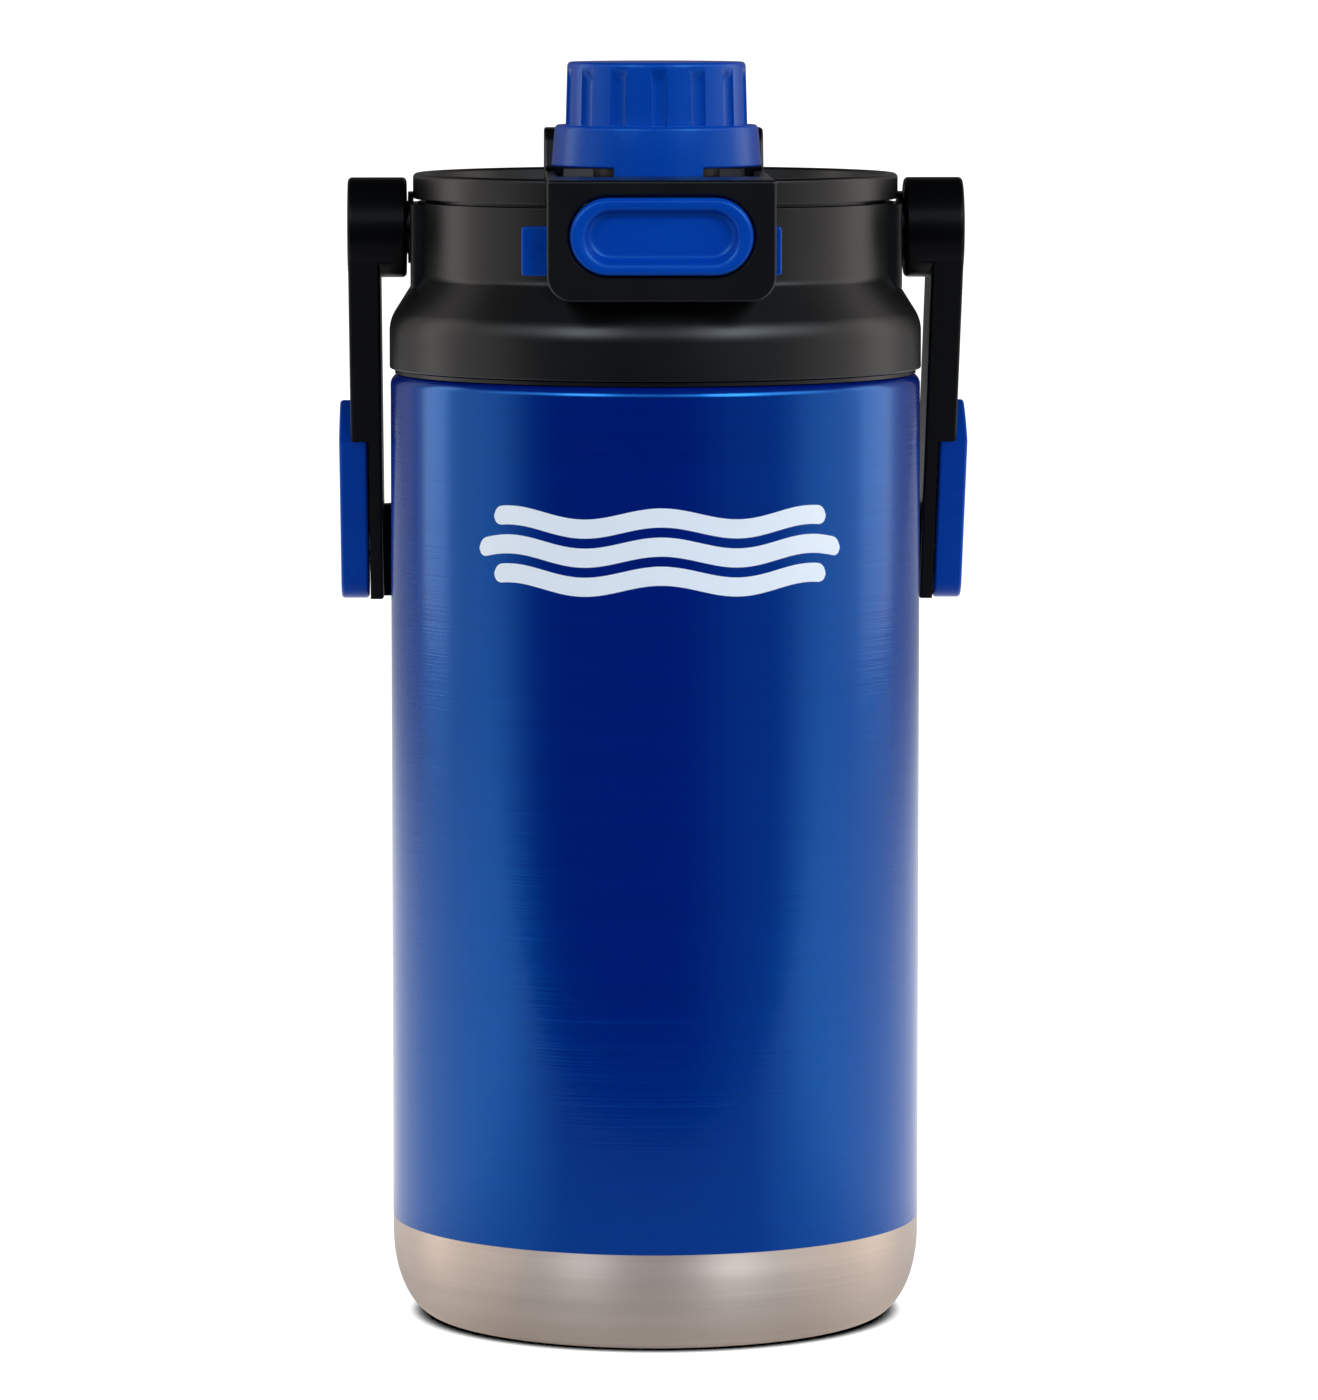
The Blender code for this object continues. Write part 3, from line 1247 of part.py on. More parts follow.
def main():
    clear_scene()
    make_outer_shell()
    make_neck_ring()
    make_base_cup()
    make_inner_liner()
    make_vacuum_seal()

    lid_axis = pivot("lid_axis", (0, 0, COLLAR_BOTTOM_Z))
    lid = [make_lid_gasket(), make_lid_collar(), make_lid_top(), make_lid_liner(), make_lid_insulation()]
    lid += make_liner_screws()
    lid += [make_spout(), make_spout_ring(), make_latch_bridge(), make_hinge_pin()]
    lid += [make_cap_spring(), make_button_spring()]
    for side in (-1, 1):
        lid += [make_pivot_washer(side), make_pivot_screw(side)]
    for item in lid:
        hang(item, lid_axis)

    cap_axis = pivot("cap_axis", (0, HINGE_Y, HINGE_Z))
    for item in (make_flip_cap(), make_cap_seal()):
        hang(item, cap_axis)

    button_axis = pivot("button_axis", (0, BUTTON_FRONT_Y, BUTTON_Z))
    hang(make_push_button(), button_axis)

    lock_axis = pivot("lock_axis", (0, LOCK_FRONT_Y, (LOCK_BOTTOM_Z + LOCK_TOP_Z) / 2))
    hang(make_lock_slider(), lock_axis)

    handle_axis = pivot("handle_axis", (0, 0, PIVOT_Z))
    handle_parts = [make_handle()]
    for side in (-1, 1):
        handle_parts += [make_pivot_cover(side), make_hook_pin(side)]
    for item in handle_parts:
        hang(item, handle_axis)

    pin_y, pin_z = hook_frame_point(0, 0)
    for side in (-1, 1):
        hook_axis = pivot("hook_axis_" + side_name(side), (0, pin_y, pin_z))
        hang(make_hook(side), hook_axis)


main()
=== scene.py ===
"""Visual model of the insulated water jug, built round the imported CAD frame.

Units are metres, +Z is up, the jug's axis is the Z axis and its front faces -Y.
"""
import math

import bmesh
import bpy
from mathutils import Matrix, Vector


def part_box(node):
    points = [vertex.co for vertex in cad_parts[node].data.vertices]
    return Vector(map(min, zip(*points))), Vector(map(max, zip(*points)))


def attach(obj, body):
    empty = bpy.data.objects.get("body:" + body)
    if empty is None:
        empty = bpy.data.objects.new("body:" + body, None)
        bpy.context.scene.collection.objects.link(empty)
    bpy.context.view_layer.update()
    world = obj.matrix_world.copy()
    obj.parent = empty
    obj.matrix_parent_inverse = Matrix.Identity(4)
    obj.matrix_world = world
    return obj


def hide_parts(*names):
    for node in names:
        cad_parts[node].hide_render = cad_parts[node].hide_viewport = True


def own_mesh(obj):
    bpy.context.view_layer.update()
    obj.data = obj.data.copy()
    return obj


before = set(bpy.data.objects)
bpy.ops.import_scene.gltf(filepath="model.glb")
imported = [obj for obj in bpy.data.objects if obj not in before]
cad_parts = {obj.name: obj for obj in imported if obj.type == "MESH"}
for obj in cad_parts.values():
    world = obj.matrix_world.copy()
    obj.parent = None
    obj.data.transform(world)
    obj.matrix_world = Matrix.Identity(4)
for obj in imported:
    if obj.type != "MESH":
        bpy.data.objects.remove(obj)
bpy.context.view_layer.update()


def low(node):
    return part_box(node)[0]


def high(node):
    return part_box(node)[1]


# Smoothness
ROUND_SEGMENTS = 160
VESSEL_SEGMENTS = 96
SPOUT_SEGMENTS = 96
TAB_SEGMENTS = 200
SMALL_SEGMENTS = 48
ARC_STEPS = 8
EDGE_STEPS = 4
SHARP_DEGREES = 35
CUT = 0.004
GAP = 0.0003

# Bottle
BODY_RADIUS = high("outer_shell").x
NECK_TOP_Z = high("neck_ring").z
CUP_TOP_Z = high("base_cup").z
LINER_FLOOR_Z = low("inner_liner").z
WALL = 0.0008
SHOULDER_Z = 0.2150
SHOULDER_ROUND = 0.0027
NECK_RADIUS = 0.0525
PAINT_FILM = 0.00005
CUP_CORNER_WIDTH = 0.0100
CUP_CORNER_HEIGHT = 0.0190
FOOT_GROOVE_INNER = 0.0330
FOOT_GROOVE_OUTER = 0.0460
FOOT_GROOVE_DEPTH = 0.0012
FOOT_GROOVE_SLOPE = 0.0015
LINER_GAP = 0.0030
LINER_CORNER = 0.0130
LINER_SHOULDER_Z = 0.2128
LINER_SHOULDER_RISE = 0.0060
LINER_SHOULDER_ROUND = 0.0030
LINER_NECK_ROUND = 0.0010
THREAD_STARTS = 3
THREAD_LEAD = 0.0120
THREAD_STEPS = 60
THREAD_SPAN_DEGREES = 135
THREAD_HEIGHT = 0.0013
THREAD_FADE = 12
THREAD_BASE = 0.0015
THREAD_CREST = 0.0009
THREAD_BOTTOM_Z = 0.2180

# Black ring in the gap under the lid: painted shade for that gap
GAP_SHADE_INNER = 0.0530
GAP_SHADE_OUTER = 0.0590
GAP_SHADE_CLEARANCE = 0.00015

# Emblem: three wave ribbons printed on the front
WAVE_CENTRE_Z = 0.1785
WAVE_HALF_LENGTH = 0.0435
WAVE_THICKNESS = 0.0042
WAVE_SPACING = 0.0064
WAVE_HEIGHT = 0.0013
WAVE_COUNT = 2.5
WAVE_STEPS = 180
PRINT_FILM = 0.00004

# Lid shell
COLLAR_RADIUS = high("lid_collar").y
COLLAR_BOTTOM_Z = low("lid_collar").z
COLLAR_SHOULDER_Z = 0.2269
COLLAR_SHOULDER_ROUND = 0.0090
WAIST_RADIUS = 0.0539
WAIST_BOTTOM_Z = 0.2369
WAIST_FILLET = 0.0028
COLLAR_TOP_Z = 0.2536
COLLAR_EDGE = 0.0004
COLLAR_WALL = 0.0018
PAD_FACE_X = 0.0553
PAD_ROOT_RADIUS = 0.0530
PAD_HALF_WIDTH = 0.0130
PAD_ROUND = 0.0014
PAD_BOTTOM_Z = 0.2345
PAD_TOP_Z = 0.2532
RIM_RADIUS = high("lid_top").y
RIM_TOP_Z = high("lid_top").z
RIM_BOTTOM_Z = 0.2543
RIM_ROUND = 0.0010
RIM_INNER_RADIUS = 0.0520
DISH_RADIUS = 0.0480
DISH_Z = 0.2510
COVER_UNDERSIDE_Z = 0.2490
COVER_SKIRT_RADIUS = 0.0517
SPOUT_HOLE = 0.0147

# Spout and flip cap
SPOUT_Y = (low("spout").y + high("spout").y) / 2
SPOUT_BOTTOM_Z = low("spout").z
SPOUT_TOP_Z = high("spout").z
SPOUT_RADIUS = 0.0142
SPOUT_BORE = 0.0122
SPOUT_FLANGE_RADIUS = 0.0175
SPOUT_FLANGE_TOP_Z = 0.2532
CAP_TOP_Z = high("flip_cap").z
CAP_FLANGE_BOTTOM_Z = 0.2618
CAP_FLANGE_TOP_Z = 0.2708
CAP_FLANGE_BOTTOM_RADIUS = 0.0236
CAP_FLANGE_TOP_RADIUS = 0.0228
CAP_FLANGE_ROUND = 0.0012
CAP_DOME_BOTTOM_RADIUS = 0.0204
CAP_DOME_TOP_RADIUS = 0.0200
CAP_TOP_ROUND = 0.0009
CAP_INNER_RADIUS = 0.0169
CAP_CEILING_Z = 0.2818
CAP_MIDDLE_RADIUS = 0.0040
RIB_GROOVES = 14
RIB_GROOVE_DEGREES = 5.5
RIB_GROOVE_DEPTH = 0.0011
RIB_GROOVE_HEIGHTS = (0.2740, 0.2780, 0.2805, 0.2812, 0.2818, 0.2824, 0.2830, 0.2835, 0.2839)
RIB_GROOVE_TOP_Z = 0.2842
RIB_GROOVE_FADE = 0.0032
RIB_SAMPLES = (-10.4, -8.0, -6.2, -5.5, -5.2, -4.5, -3.4, -2.0, 0.0, 2.0, 3.4, 4.5, 5.2, 5.5, 6.2, 8.0, 10.4)
TAB_HALF_WIDTH_TOP = 0.0102
TAB_HALF_WIDTH_BOTTOM = 0.0096
TAB_THICKNESS = 0.0032
TAB_BOTTOM_Z = low("flip_cap").z
TAB_TOP_Z = 0.2680
HINGE_Y = 0.0220
HINGE_Z = 0.2650
HINGE_PIN_RADIUS = 0.0015
HINGE_PIN_HALF_LENGTH = high("hinge_pin").x
HINGE_BORE_RADIUS = 0.0019
HINGE_KNUCKLE_RADIUS = 0.0043
HINGE_LUG_HALF_WIDTH = 0.0202
HINGE_LUG_START_Y = 0.0060
HINGE_LUG_EDGE = 0.0005
HINGE_SLOT_HALF_WIDTH = 0.0075
HINGE_SLOT_START_Y = 0.0165
CAP_SPRING_RADIUS = 0.0030
CAP_SPRING_WIRE = 0.0005
CAP_SPRING_TURNS = 5
CAP_SPRING_LENGTH = 0.0110
COIL_STEPS = 28
WIRE_SIDES = 10

# Latch housing, button and lock
BRIDGE_HALF_WIDTH = high("latch_bridge").x
BRIDGE_FRONT_Y = low("latch_bridge").y
BRIDGE_BOTTOM_Z = low("latch_bridge").z
RAIL_END_Y = high("latch_bridge").y
EAR_TOP_Z = high("latch_bridge").z
BRIDGE_WALL = 0.0024
BRIDGE_TOP_Z = 0.2602
BRIDGE_CORNER = 0.0055
BRIDGE_TOP_CORNER = 0.0008
BRIDGE_EDGE = 0.0007
BRIDGE_SIDE_EDGE = 0.0006
BRIDGE_HOUSING_END_Y = -0.0483
BRIDGE_DECK_END_Y = -0.0375
BRIDGE_BLOCK_END_Y = -0.0380
BRIDGE_REAR_START_Y = -0.0400
BRIDGE_ROOT_ROUND = 0.0015
RAIL_BOTTOM_Z = 0.2513
EAR_FRONT_Y = 0.0130
EAR_TOP_FRONT_Y = 0.0165
EAR_TOP_REAR_Y = 0.0295
EAR_ROUND = 0.0045
EAR_INNER_X = 0.0206
PARTING_Z = 0.2462
PARTING_START = 0.0014
PARTING_HALF_WIDTH = 0.00006
PARTING_HEIGHT = 0.00005
BUTTON_Z = 0.2479
BUTTON_HALF_WIDTH = high("push_button").x
BUTTON_HALF_HEIGHT = 0.0085
BUTTON_FRONT_Y = low("push_button").y
BUTTON_BACK_Y = -0.0612
BUTTON_CLEARANCE = 0.0004
BUTTON_HOLE_LEVELS = ((0.0007, -0.0002), (0, 0.0004), (0, BRIDGE_WALL + CUT / 2))  # growth, depth
BUTTON_PROFILE = (  # inset along the width, inset along the height, depth behind the face
    (0.00000, 0.00000, 0.0044), (0.00000, 0.00000, 0.0011), (0.00008, 0.00008, 0.00068),
    (0.00032, 0.00032, 0.00032), (0.00068, 0.00068, 0.00008), (0.00110, 0.00110, 0.00000),
    (0.00190, 0.00170, 0.00003), (0.00270, 0.00225, 0.00014), (0.00315, 0.00257, 0.00036),
    (0.00345, 0.00280, 0.00078), (0.00367, 0.00297, 0.00140), (0.00387, 0.00313, 0.00205),
    (0.00410, 0.00330, 0.00255), (0.00445, 0.00357, 0.00290), (0.00500, 0.00395, 0.00308),
    (0.00570, 0.00440, 0.00314), (0.00660, 0.00500, 0.00316),
)
BUTTON_SPRING_RADIUS = 0.0024
BUTTON_SPRING_WIRE = 0.00035
BUTTON_SPRING_TURNS = 4
BUTTON_SPRING_Z = 0.2445
FRAME_HALF_WIDTH = 0.0160
FRAME_BOTTOM_Z = 0.2546
FRAME_TOP_Z = 0.2568
FRAME_REAR_Y = high("push_button").y
FRAME_WINDOW_HALF_WIDTH = 0.0125
FRAME_WINDOW_FRONT_Y = -0.0402
FRAME_WINDOW_REAR_Y = -0.0321
LOCK_LEFT_X = low("lock_slider").x
LOCK_RIGHT_X = high("lock_slider").x
LOCK_BOTTOM_Z = low("lock_slider").z
LOCK_TOP_Z = high("lock_slider").z
LOCK_FRONT_Y = low("lock_slider").y
LOCK_BACK_Y = high("lock_slider").y
LOCK_WINDOW = (-0.0116, 0.0075, 0.2409, 0.2481)
LOCK_EDGE = 0.0005
LOCK_CORNER = 0.0008
ICON_X = -0.0276
ICON_Z = 0.2437
ICON_HEIGHT = 0.00012
ICON_BODY_HALF_WIDTH = 0.0013
ICON_BODY_BELOW = 0.0011
ICON_BODY_ABOVE = 0.0009
ICON_BOW_RISE = 0.0016
ICON_BOW_OUTER = 0.0010
ICON_BOW_INNER = 0.0006
ICON_KEYHOLE = 0.00035

# Handle and hooks
PIVOT_Y = 0
PIVOT_Z = 0.2477
STUB_ROOT_DEPTH = 0.0006
STUB_SHOULDER_RADIUS = 0.00815
STUB_SHOULDER_X = 0.0559
STUB_RADIUS = 0.0060
STUB_END_X = 0.0659
STUB_BORE_RADIUS = 0.0023
STUB_BORE_END_X = 0.0568
BOSS_RADIUS = 0.0113
BOSS_INNER_X = 0.0562
BOSS_OUTER_X = 0.0695
BOSS_EDGE = 0.0010
BOSS_BORE_RADIUS = 0.0064
BOSS_COUNTERBORE_RADIUS = 0.0080
BOSS_COUNTERBORE_X = 0.0657
COVER_RADIUS = 0.0076
COVER_NEAR_X = 0.0686
COVER_FAR_X = 0.0693
COVER_RING_RADIUS = 0.0052
COVER_RING_HALF_WIDTH = 0.0004
ARM_INNER_X = 0.0622
ARM_OUTER_X = 0.0694
ARM_HALF_WIDTH = 0.0111
ARM_LEAN_DEGREES = 30.5
ARM_ROOT_RADIUS = 0.0095
ARM_EDGE = 0.0007
GRIP_EDGE = 0.0013
GRIP_BOTTOM_Z = 0.1600
GRIP_TOP_Z = 0.1814
GRIP_END_Y = 0.0520
GRIP_START_Y = 0.0485
GRIP_OUTER = (0.0652, 0.0480, 0.0195)
GRIP_INNER = (0.0620, 0.0440, 0.0166)
GRIP_STEPS = 64
HOOK_PIN_ALONG = 0.0909
HOOK_PIN_ACROSS = -0.0018
HOOK_HALF_WIDTH = 0.0086
HOOK_LENGTH = 0.0403
HOOK_INNER_X = 0.0656
HOOK_OUTER_X = 0.0721
HOOK_EDGE = 0.0008
RECESS_FLOOR_X = 0.0653
RECESS_CLEARANCE = 0.0005
RECESS_FRONT = 0.0200
RECESS_BELOW = 0.0250
HOOK_PIN_RADIUS = 0.0025
HOOK_PIN_HOLE = 0.0029
HOOK_PIN_INNER_X = 0.0625
HOOK_PIN_HEAD_RADIUS = 0.0045
HOOK_PIN_HEAD_X = 0.0709
HOOK_PIN_HEAD_END_X = 0.0717
HOOK_PIN_SEAT_RADIUS = 0.0049
HOOK_PIN_SEAT_X = 0.0706


# ---------------------------------------------------------------- node trees

MIX_FIRST = 6
MIX_SECOND = 7
MIX_RESULT = 2


def add(tree, kind, inputs, **settings):
    """New node of this kind, with its sockets set to plain values or linked to other sockets."""
    node = tree.nodes.new("ShaderNode" + kind)
    for name, value in settings.items():
        setattr(node, name, value)
    for key, value in inputs.items():
        if isinstance(value, bpy.types.NodeSocket):
            tree.links.new(value, node.inputs[key])
        else:
            node.inputs[key].default_value = value
    return node


def stretched(tree, scale):
    """Object coordinates multiplied by a scale along each axis."""
    spot = add(tree, "TexCoord", {}).outputs["Object"]
    return add(tree, "Mapping", {"Vector": spot, "Scale": scale}).outputs["Vector"]


def noise(tree, scale, detail=3.0, roughness=0.5):
    return add(tree, "TexNoise", {
        "Vector": stretched(tree, scale), "Scale": 1.0, "Detail": detail, "Roughness": roughness,
    }).outputs["Fac"]


def calculate(tree, operation, *values):
    return add(tree, "Math", dict(enumerate(values)), operation=operation).outputs[0]


def calculate_colour(tree, operation, *values):
    return add(tree, "VectorMath", dict(enumerate(values)), operation=operation).outputs[0]


def span(tree, source, low_value, high_value, from_low=0.2, from_high=0.8):
    """The source carried from its usual range onto the range from low_value to high_value."""
    return add(tree, "MapRange", {
        "Value": source, "From Min": from_low, "From Max": from_high,
        "To Min": low_value, "To Max": high_value,
    }).outputs["Result"]


def blend_colours(tree, factor, first, second):
    """Mix node between two colours, whose sockets share their names with those of other types."""
    colours = {MIX_FIRST: (*first, 1.0), MIX_SECOND: (*second, 1.0)}
    return add(tree, "Mix", {0: factor, **colours}, data_type="RGBA").outputs[MIX_RESULT]


def bump(tree, height, distance, strength=1.0):
    return add(tree, "Bump", {"Height": height, "Distance": distance, "Strength": strength}).outputs["Normal"]


def finish(tree, pattern, colours, roughness, relief, pattern_range=(0.2, 0.8)):
    """Links for a finish whose colour and gloss follow a pattern, over (height, distance, strength)."""
    return {
        "Base Color": blend_colours(tree, span(tree, pattern, 0.0, 1.0, *pattern_range), *colours),
        "Roughness": span(tree, pattern, *roughness, *pattern_range),
        "Normal": bump(tree, *relief),
    }


def radial_tangent(tree):
    return add(tree, "Tangent", {}, direction_type="RADIAL", axis="Z").outputs[0]


def material(name, plain, build):
    """Principled material: plain holds constants for its sockets, and build adds nodes and gives links."""
    made = bpy.data.materials.new(name)
    made.use_nodes = True
    tree = made.node_tree
    shader = tree.nodes["Principled BSDF"]
    for socket, value in plain.items():
        shader.inputs[socket].default_value = value
    for socket, source in build(tree).items():
        tree.links.new(source, shader.inputs[socket])
    return made


def paint_nodes(tree):
    """Blue metallic coat over brushed steel: fine level brush lines, flakes and slow unevenness."""
    lines = noise(tree, (10.0, 10.0, 2600.0), 4.0, 0.6)
    bands = noise(tree, (6.0, 6.0, 420.0), 3.0)
    flakes = noise(tree, (5200.0, 5200.0, 5200.0), 1.0)
    slow = noise(tree, (18.0, 18.0, 12.0), 2.0)
    both = calculate(tree, "ADD", lines, bands)
    tone = span(tree, calculate(tree, "ADD", both, flakes), 0.0, 1.0, 1.2, 1.8)
    return {
        "Base Color": blend_colours(tree, tone, (0.0, 0.0110, 0.185), (0.0, 0.0130, 0.215)),
        "Roughness": span(tree, slow, 0.15, 0.19),
        "Normal": bump(tree, both, 0.000026),
        "Coat Normal": bump(tree, both, 0.000006),
        "Tangent": radial_tangent(tree),
    }


def steel_nodes(tree):
    """Brushed steel with level brush lines and a few darker bands."""
    lines = noise(tree, (14.0, 14.0, 3000.0), 5.0, 0.65)
    bands = noise(tree, (9.0, 9.0, 260.0), 3.0)
    both = calculate(tree, "ADD", lines, bands)
    colours = ((0.64, 0.53, 0.45), (0.74, 0.62, 0.53))
    links = finish(tree, both, colours, (0.38, 0.46), (both, 0.000004), (0.7, 1.3))
    links["Tangent"] = radial_tangent(tree)
    return links


def black_nodes(tree):
    """Moulded black plastic with a fine even grain and slightly uneven gloss."""
    grain = noise(tree, (2600.0, 2600.0, 2600.0), 2.0)
    slow = noise(tree, (60.0, 60.0, 60.0))
    colours = ((0.0012, 0.0013, 0.0018), (0.0022, 0.0023, 0.0028))
    return finish(tree, slow, colours, (0.29, 0.35), (grain, 0.000010, 0.6))


def blue_nodes(tree):
    """Moulded blue plastic, smoother than the black one, with faint flow marks."""
    flow = noise(tree, (45.0, 45.0, 90.0))
    grain = noise(tree, (1700.0, 1700.0, 1700.0), 2.0)
    colours = ((0.0004, 0.054, 0.412), (0.0006, 0.058, 0.428))
    return finish(tree, flow, colours, (0.25, 0.29), (grain, 0.000006, 0.5))


def seal_nodes(tree):
    """Milky silicone rubber."""
    cloud = noise(tree, (220.0, 220.0, 220.0))
    colours = ((0.58, 0.59, 0.60), (0.68, 0.69, 0.69))
    return finish(tree, cloud, colours, (0.42, 0.55), (cloud, 0.00004, 0.4))


def foam_nodes(tree):
    """Rigid white foam with small cells."""
    spot = stretched(tree, (900.0, 900.0, 900.0))
    cells = add(tree, "TexVoronoi", {"Vector": spot, "Scale": 1.0}).outputs["Distance"]
    colours = ((0.84, 0.84, 0.81), (0.70, 0.70, 0.67))
    return finish(tree, cells, colours, (0.80, 0.95), (cells, 0.0002, 0.6), (0.1, 0.8))


def spring_nodes(tree):
    """Bright drawn or turned steel of the pins, screws and springs."""
    marks = noise(tree, (2500.0, 600.0, 600.0), 4.0)
    colours = ((0.49, 0.49, 0.50), (0.55, 0.55, 0.56))
    return finish(tree, marks, colours, (0.20, 0.32), (marks, 0.00001, 0.5))


def ink_nodes(tree):
    """White screen-printed ink, slightly uneven in thickness."""
    mesh = noise(tree, (3600.0, 3600.0, 3600.0), 2.0)
    cover = noise(tree, (90.0, 90.0, 90.0))
    colours = ((0.86, 0.91, 0.96), (0.91, 0.95, 0.99))
    return finish(tree, cover, colours, (0.34, 0.42), (mesh, 0.000008, 0.5))


LOOKS = {
    "blue_paint": material("painted_steel", {
        "IOR": 3.0, "Specular Tint": (0.0, 0.26, 0.74, 1.0), "Anisotropic": 0.6,
        "Coat Weight": 0.5, "Coat IOR": 1.3, "Coat Roughness": 0.03,
    }, paint_nodes),
    "brushed_steel": material("brushed_base", {
        "Metallic": 1.0, "Anisotropic": 0.8, "Anisotropic Rotation": 0.25,
    }, steel_nodes),
    "black_plastic": material("moulded_black", {"IOR": 1.43}, black_nodes),
    "handle_plastic": material("handle_black", {"IOR": 1.20}, black_nodes),
    "blue_plastic": material("moulded_blue", {
        "IOR": 1.5, "Specular Tint": (0.2, 0.65, 1.0, 1.0),
    }, blue_nodes),
    "hook_plastic": material("hook_blue", {
        "IOR": 1.25, "Specular Tint": (0.2, 0.65, 1.0, 1.0),
    }, blue_nodes),
    "clear_seal": material("silicone", {"IOR": 1.41, "Transmission Weight": 0.15}, seal_nodes),
    "white_foam": material("foam", {}, foam_nodes),
    "spring_steel": material("bright_steel", {"Metallic": 1.0}, spring_nodes),
    "print": material("white_ink", {"IOR": 1.45}, ink_nodes),
}


# ---------------------------------------------------------------- outlines

def rounded(corners, steps=ARC_STEPS):
    """Outline through corners (u, v, radius), with an arc of that radius in each corner."""
    outline = []
    for index, (u, v, radius) in enumerate(corners):
        corner = Vector((u, v))
        if radius == 0:
            outline.append(corner)
            continue
        back = (Vector(corners[index - 1][:2]) - corner).normalized()
        forth = (Vector(corners[(index + 1) % len(corners)][:2]) - corner).normalized()
        half = back.angle(forth) / 2
        reach = radius / math.tan(half)
        centre = corner + (back + forth).normalized() * (radius / math.sin(half))
        start = corner + back * reach - centre
        end = corner + forth * reach - centre
        turn = math.pi - 2 * half
        for step in range(steps + 1):
            part = step / steps
            first = math.sin((1 - part) * turn) / math.sin(turn)
            last = math.sin(part * turn) / math.sin(turn)
            outline.append(centre + start * first + end * last)
    return outline


def arc(centre, radii, first, last, steps):
    """Points of an ellipse about the centre, between two angles in degrees."""
    points = []
    for step in range(steps + 1):
        angle = math.radians(first + (last - first) * step / steps)
        points.append(Vector(centre) + Vector((radii[0] * math.cos(angle), radii[1] * math.sin(angle))))
    return points


def circle(u, v, radius, segments=SMALL_SEGMENTS):
    return arc((u, v), (radius, radius), 0, 360, segments)[:-1]


def stadium(v, half_width, half_height, steps=20):
    """Slot along u, centred on u = 0, with half round ends."""
    straight = half_width - half_height
    radii = (half_height, half_height)
    return arc((straight, v), radii, -90, 90, steps) + arc((-straight, v), radii, 90, 270, steps)


def rectangle(low_u, low_v, high_u, high_v, radius=0):
    return rounded([
        (low_u, low_v, radius), (high_u, low_v, radius), (high_u, high_v, radius), (low_u, high_v, radius),
    ], EDGE_STEPS)


def inset(outline, distance):
    """The outline moved inwards by the distance."""
    pairs = zip(outline, outline[1:] + outline[:1])
    turn = 1 if sum(a.x * b.y - b.x * a.y for a, b in pairs) > 0 else -1
    moved = []
    for index, corner in enumerate(outline):
        before = (corner - outline[index - 1]).normalized()
        after = (outline[(index + 1) % len(outline)] - corner).normalized()
        normal = Vector((-before.y - after.y, before.x + after.x)) * turn
        moved.append(corner + normal * (distance / (1 + before.dot(after))))
    return moved


# ---------------------------------------------------------------- solids

TOOL_LOOK = "black_plastic"  # a cutter's own look is never seen


def place(axis, u, v, w):
    """A point of an outline (u, v) at distance w along the axis."""
    if axis == "X":
        return Vector((w, u, v))
    if axis == "Y":
        return Vector((u, w, v))
    return Vector((u, v, w))


def finish_mesh(name, shape, look):
    """Weld, face outwards and turn the bmesh into an object with this material."""
    bmesh.ops.remove_doubles(shape, verts=shape.verts, dist=0.000001)
    bmesh.ops.recalc_face_normals(shape, faces=shape.faces)
    mesh = bpy.data.meshes.new(name)
    shape.to_mesh(mesh)
    shape.free()
    mesh.materials.append(LOOKS[look])
    item = bpy.data.objects.new(name, mesh)
    bpy.context.scene.collection.objects.link(item)
    return item


def loft(shape, rings):
    """Closed solid through rings with the same number of points, with flat ends."""
    rows = [[shape.verts.new(point) for point in ring] for ring in rings]
    count = len(rows[0])
    for lower, upper in zip(rows, rows[1:]):
        for index in range(count):
            following = (index + 1) % count
            shape.faces.new((lower[index], lower[following], upper[following], upper[index]))
    shape.faces.new(rows[0])
    shape.faces.new(rows[-1])


def lofted(name, rings, look=TOOL_LOOK):
    shape = bmesh.new()
    loft(shape, rings)
    return finish_mesh(name, shape, look)


def prism(name, outline, axis, near, far, look=TOOL_LOOK, near_edge=0, far_edge=0):
    """Solid along an axis, whose end faces may have rounded borders of these radii."""
    way = 1 if far > near else -1
    levels = []
    for radius, end, inwards in ((near_edge, near, way), (far_edge, far, -way)):
        arcs = []
        steps = EDGE_STEPS if radius else 0
        for step in range(steps + 1):
            angle = math.radians(90) * (step / steps if steps else 1)
            arcs.append((radius * (1 - math.sin(angle)), end + inwards * radius * (1 - math.cos(angle))))
        levels += arcs if end == near else arcs[::-1]
    rings = []
    for distance, w in levels:
        ring = inset(outline, distance) if distance else outline
        rings.append([place(axis, u, v, w) for u, v in ring])
    return lofted(name, rings, look)


def at_angle(angle, pairs):
    """Points at this angle about the Z axis, from pairs of radius and height."""
    return [Vector((radius * math.cos(angle), radius * math.sin(angle), height)) for radius, height in pairs]


def axis_matrix(centre, axis):
    """Carries +Z onto the axis, at the centre."""
    turn = Matrix.Identity(4)
    if axis == "X":
        turn = Matrix.Rotation(math.radians(90), 4, "Y")
    if axis == "Y":
        turn = Matrix.Rotation(math.radians(-90), 4, "X")
    return Matrix.Translation(centre) @ turn


def turned(name, outline, look=TOOL_LOOK, segments=ROUND_SEGMENTS, centre=(0, 0, 0), axis="Z"):
    """Solid of revolution of an outline of (radius, height)."""
    shape = bmesh.new()
    corners = [shape.verts.new((radius, 0, height)) for radius, height in outline]
    edges = [shape.edges.new(pair) for pair in zip(corners, corners[1:])]
    if not (outline[0][0] == 0 and outline[-1][0] == 0):
        edges.append(shape.edges.new((corners[-1], corners[0])))
    bmesh.ops.spin(
        shape, geom=corners + edges, cent=(0, 0, 0), axis=(0, 0, 1), angle=math.radians(360),
        steps=segments, use_merge=True,
    )
    shape.transform(axis_matrix(centre, axis))
    return finish_mesh(name, shape, look)


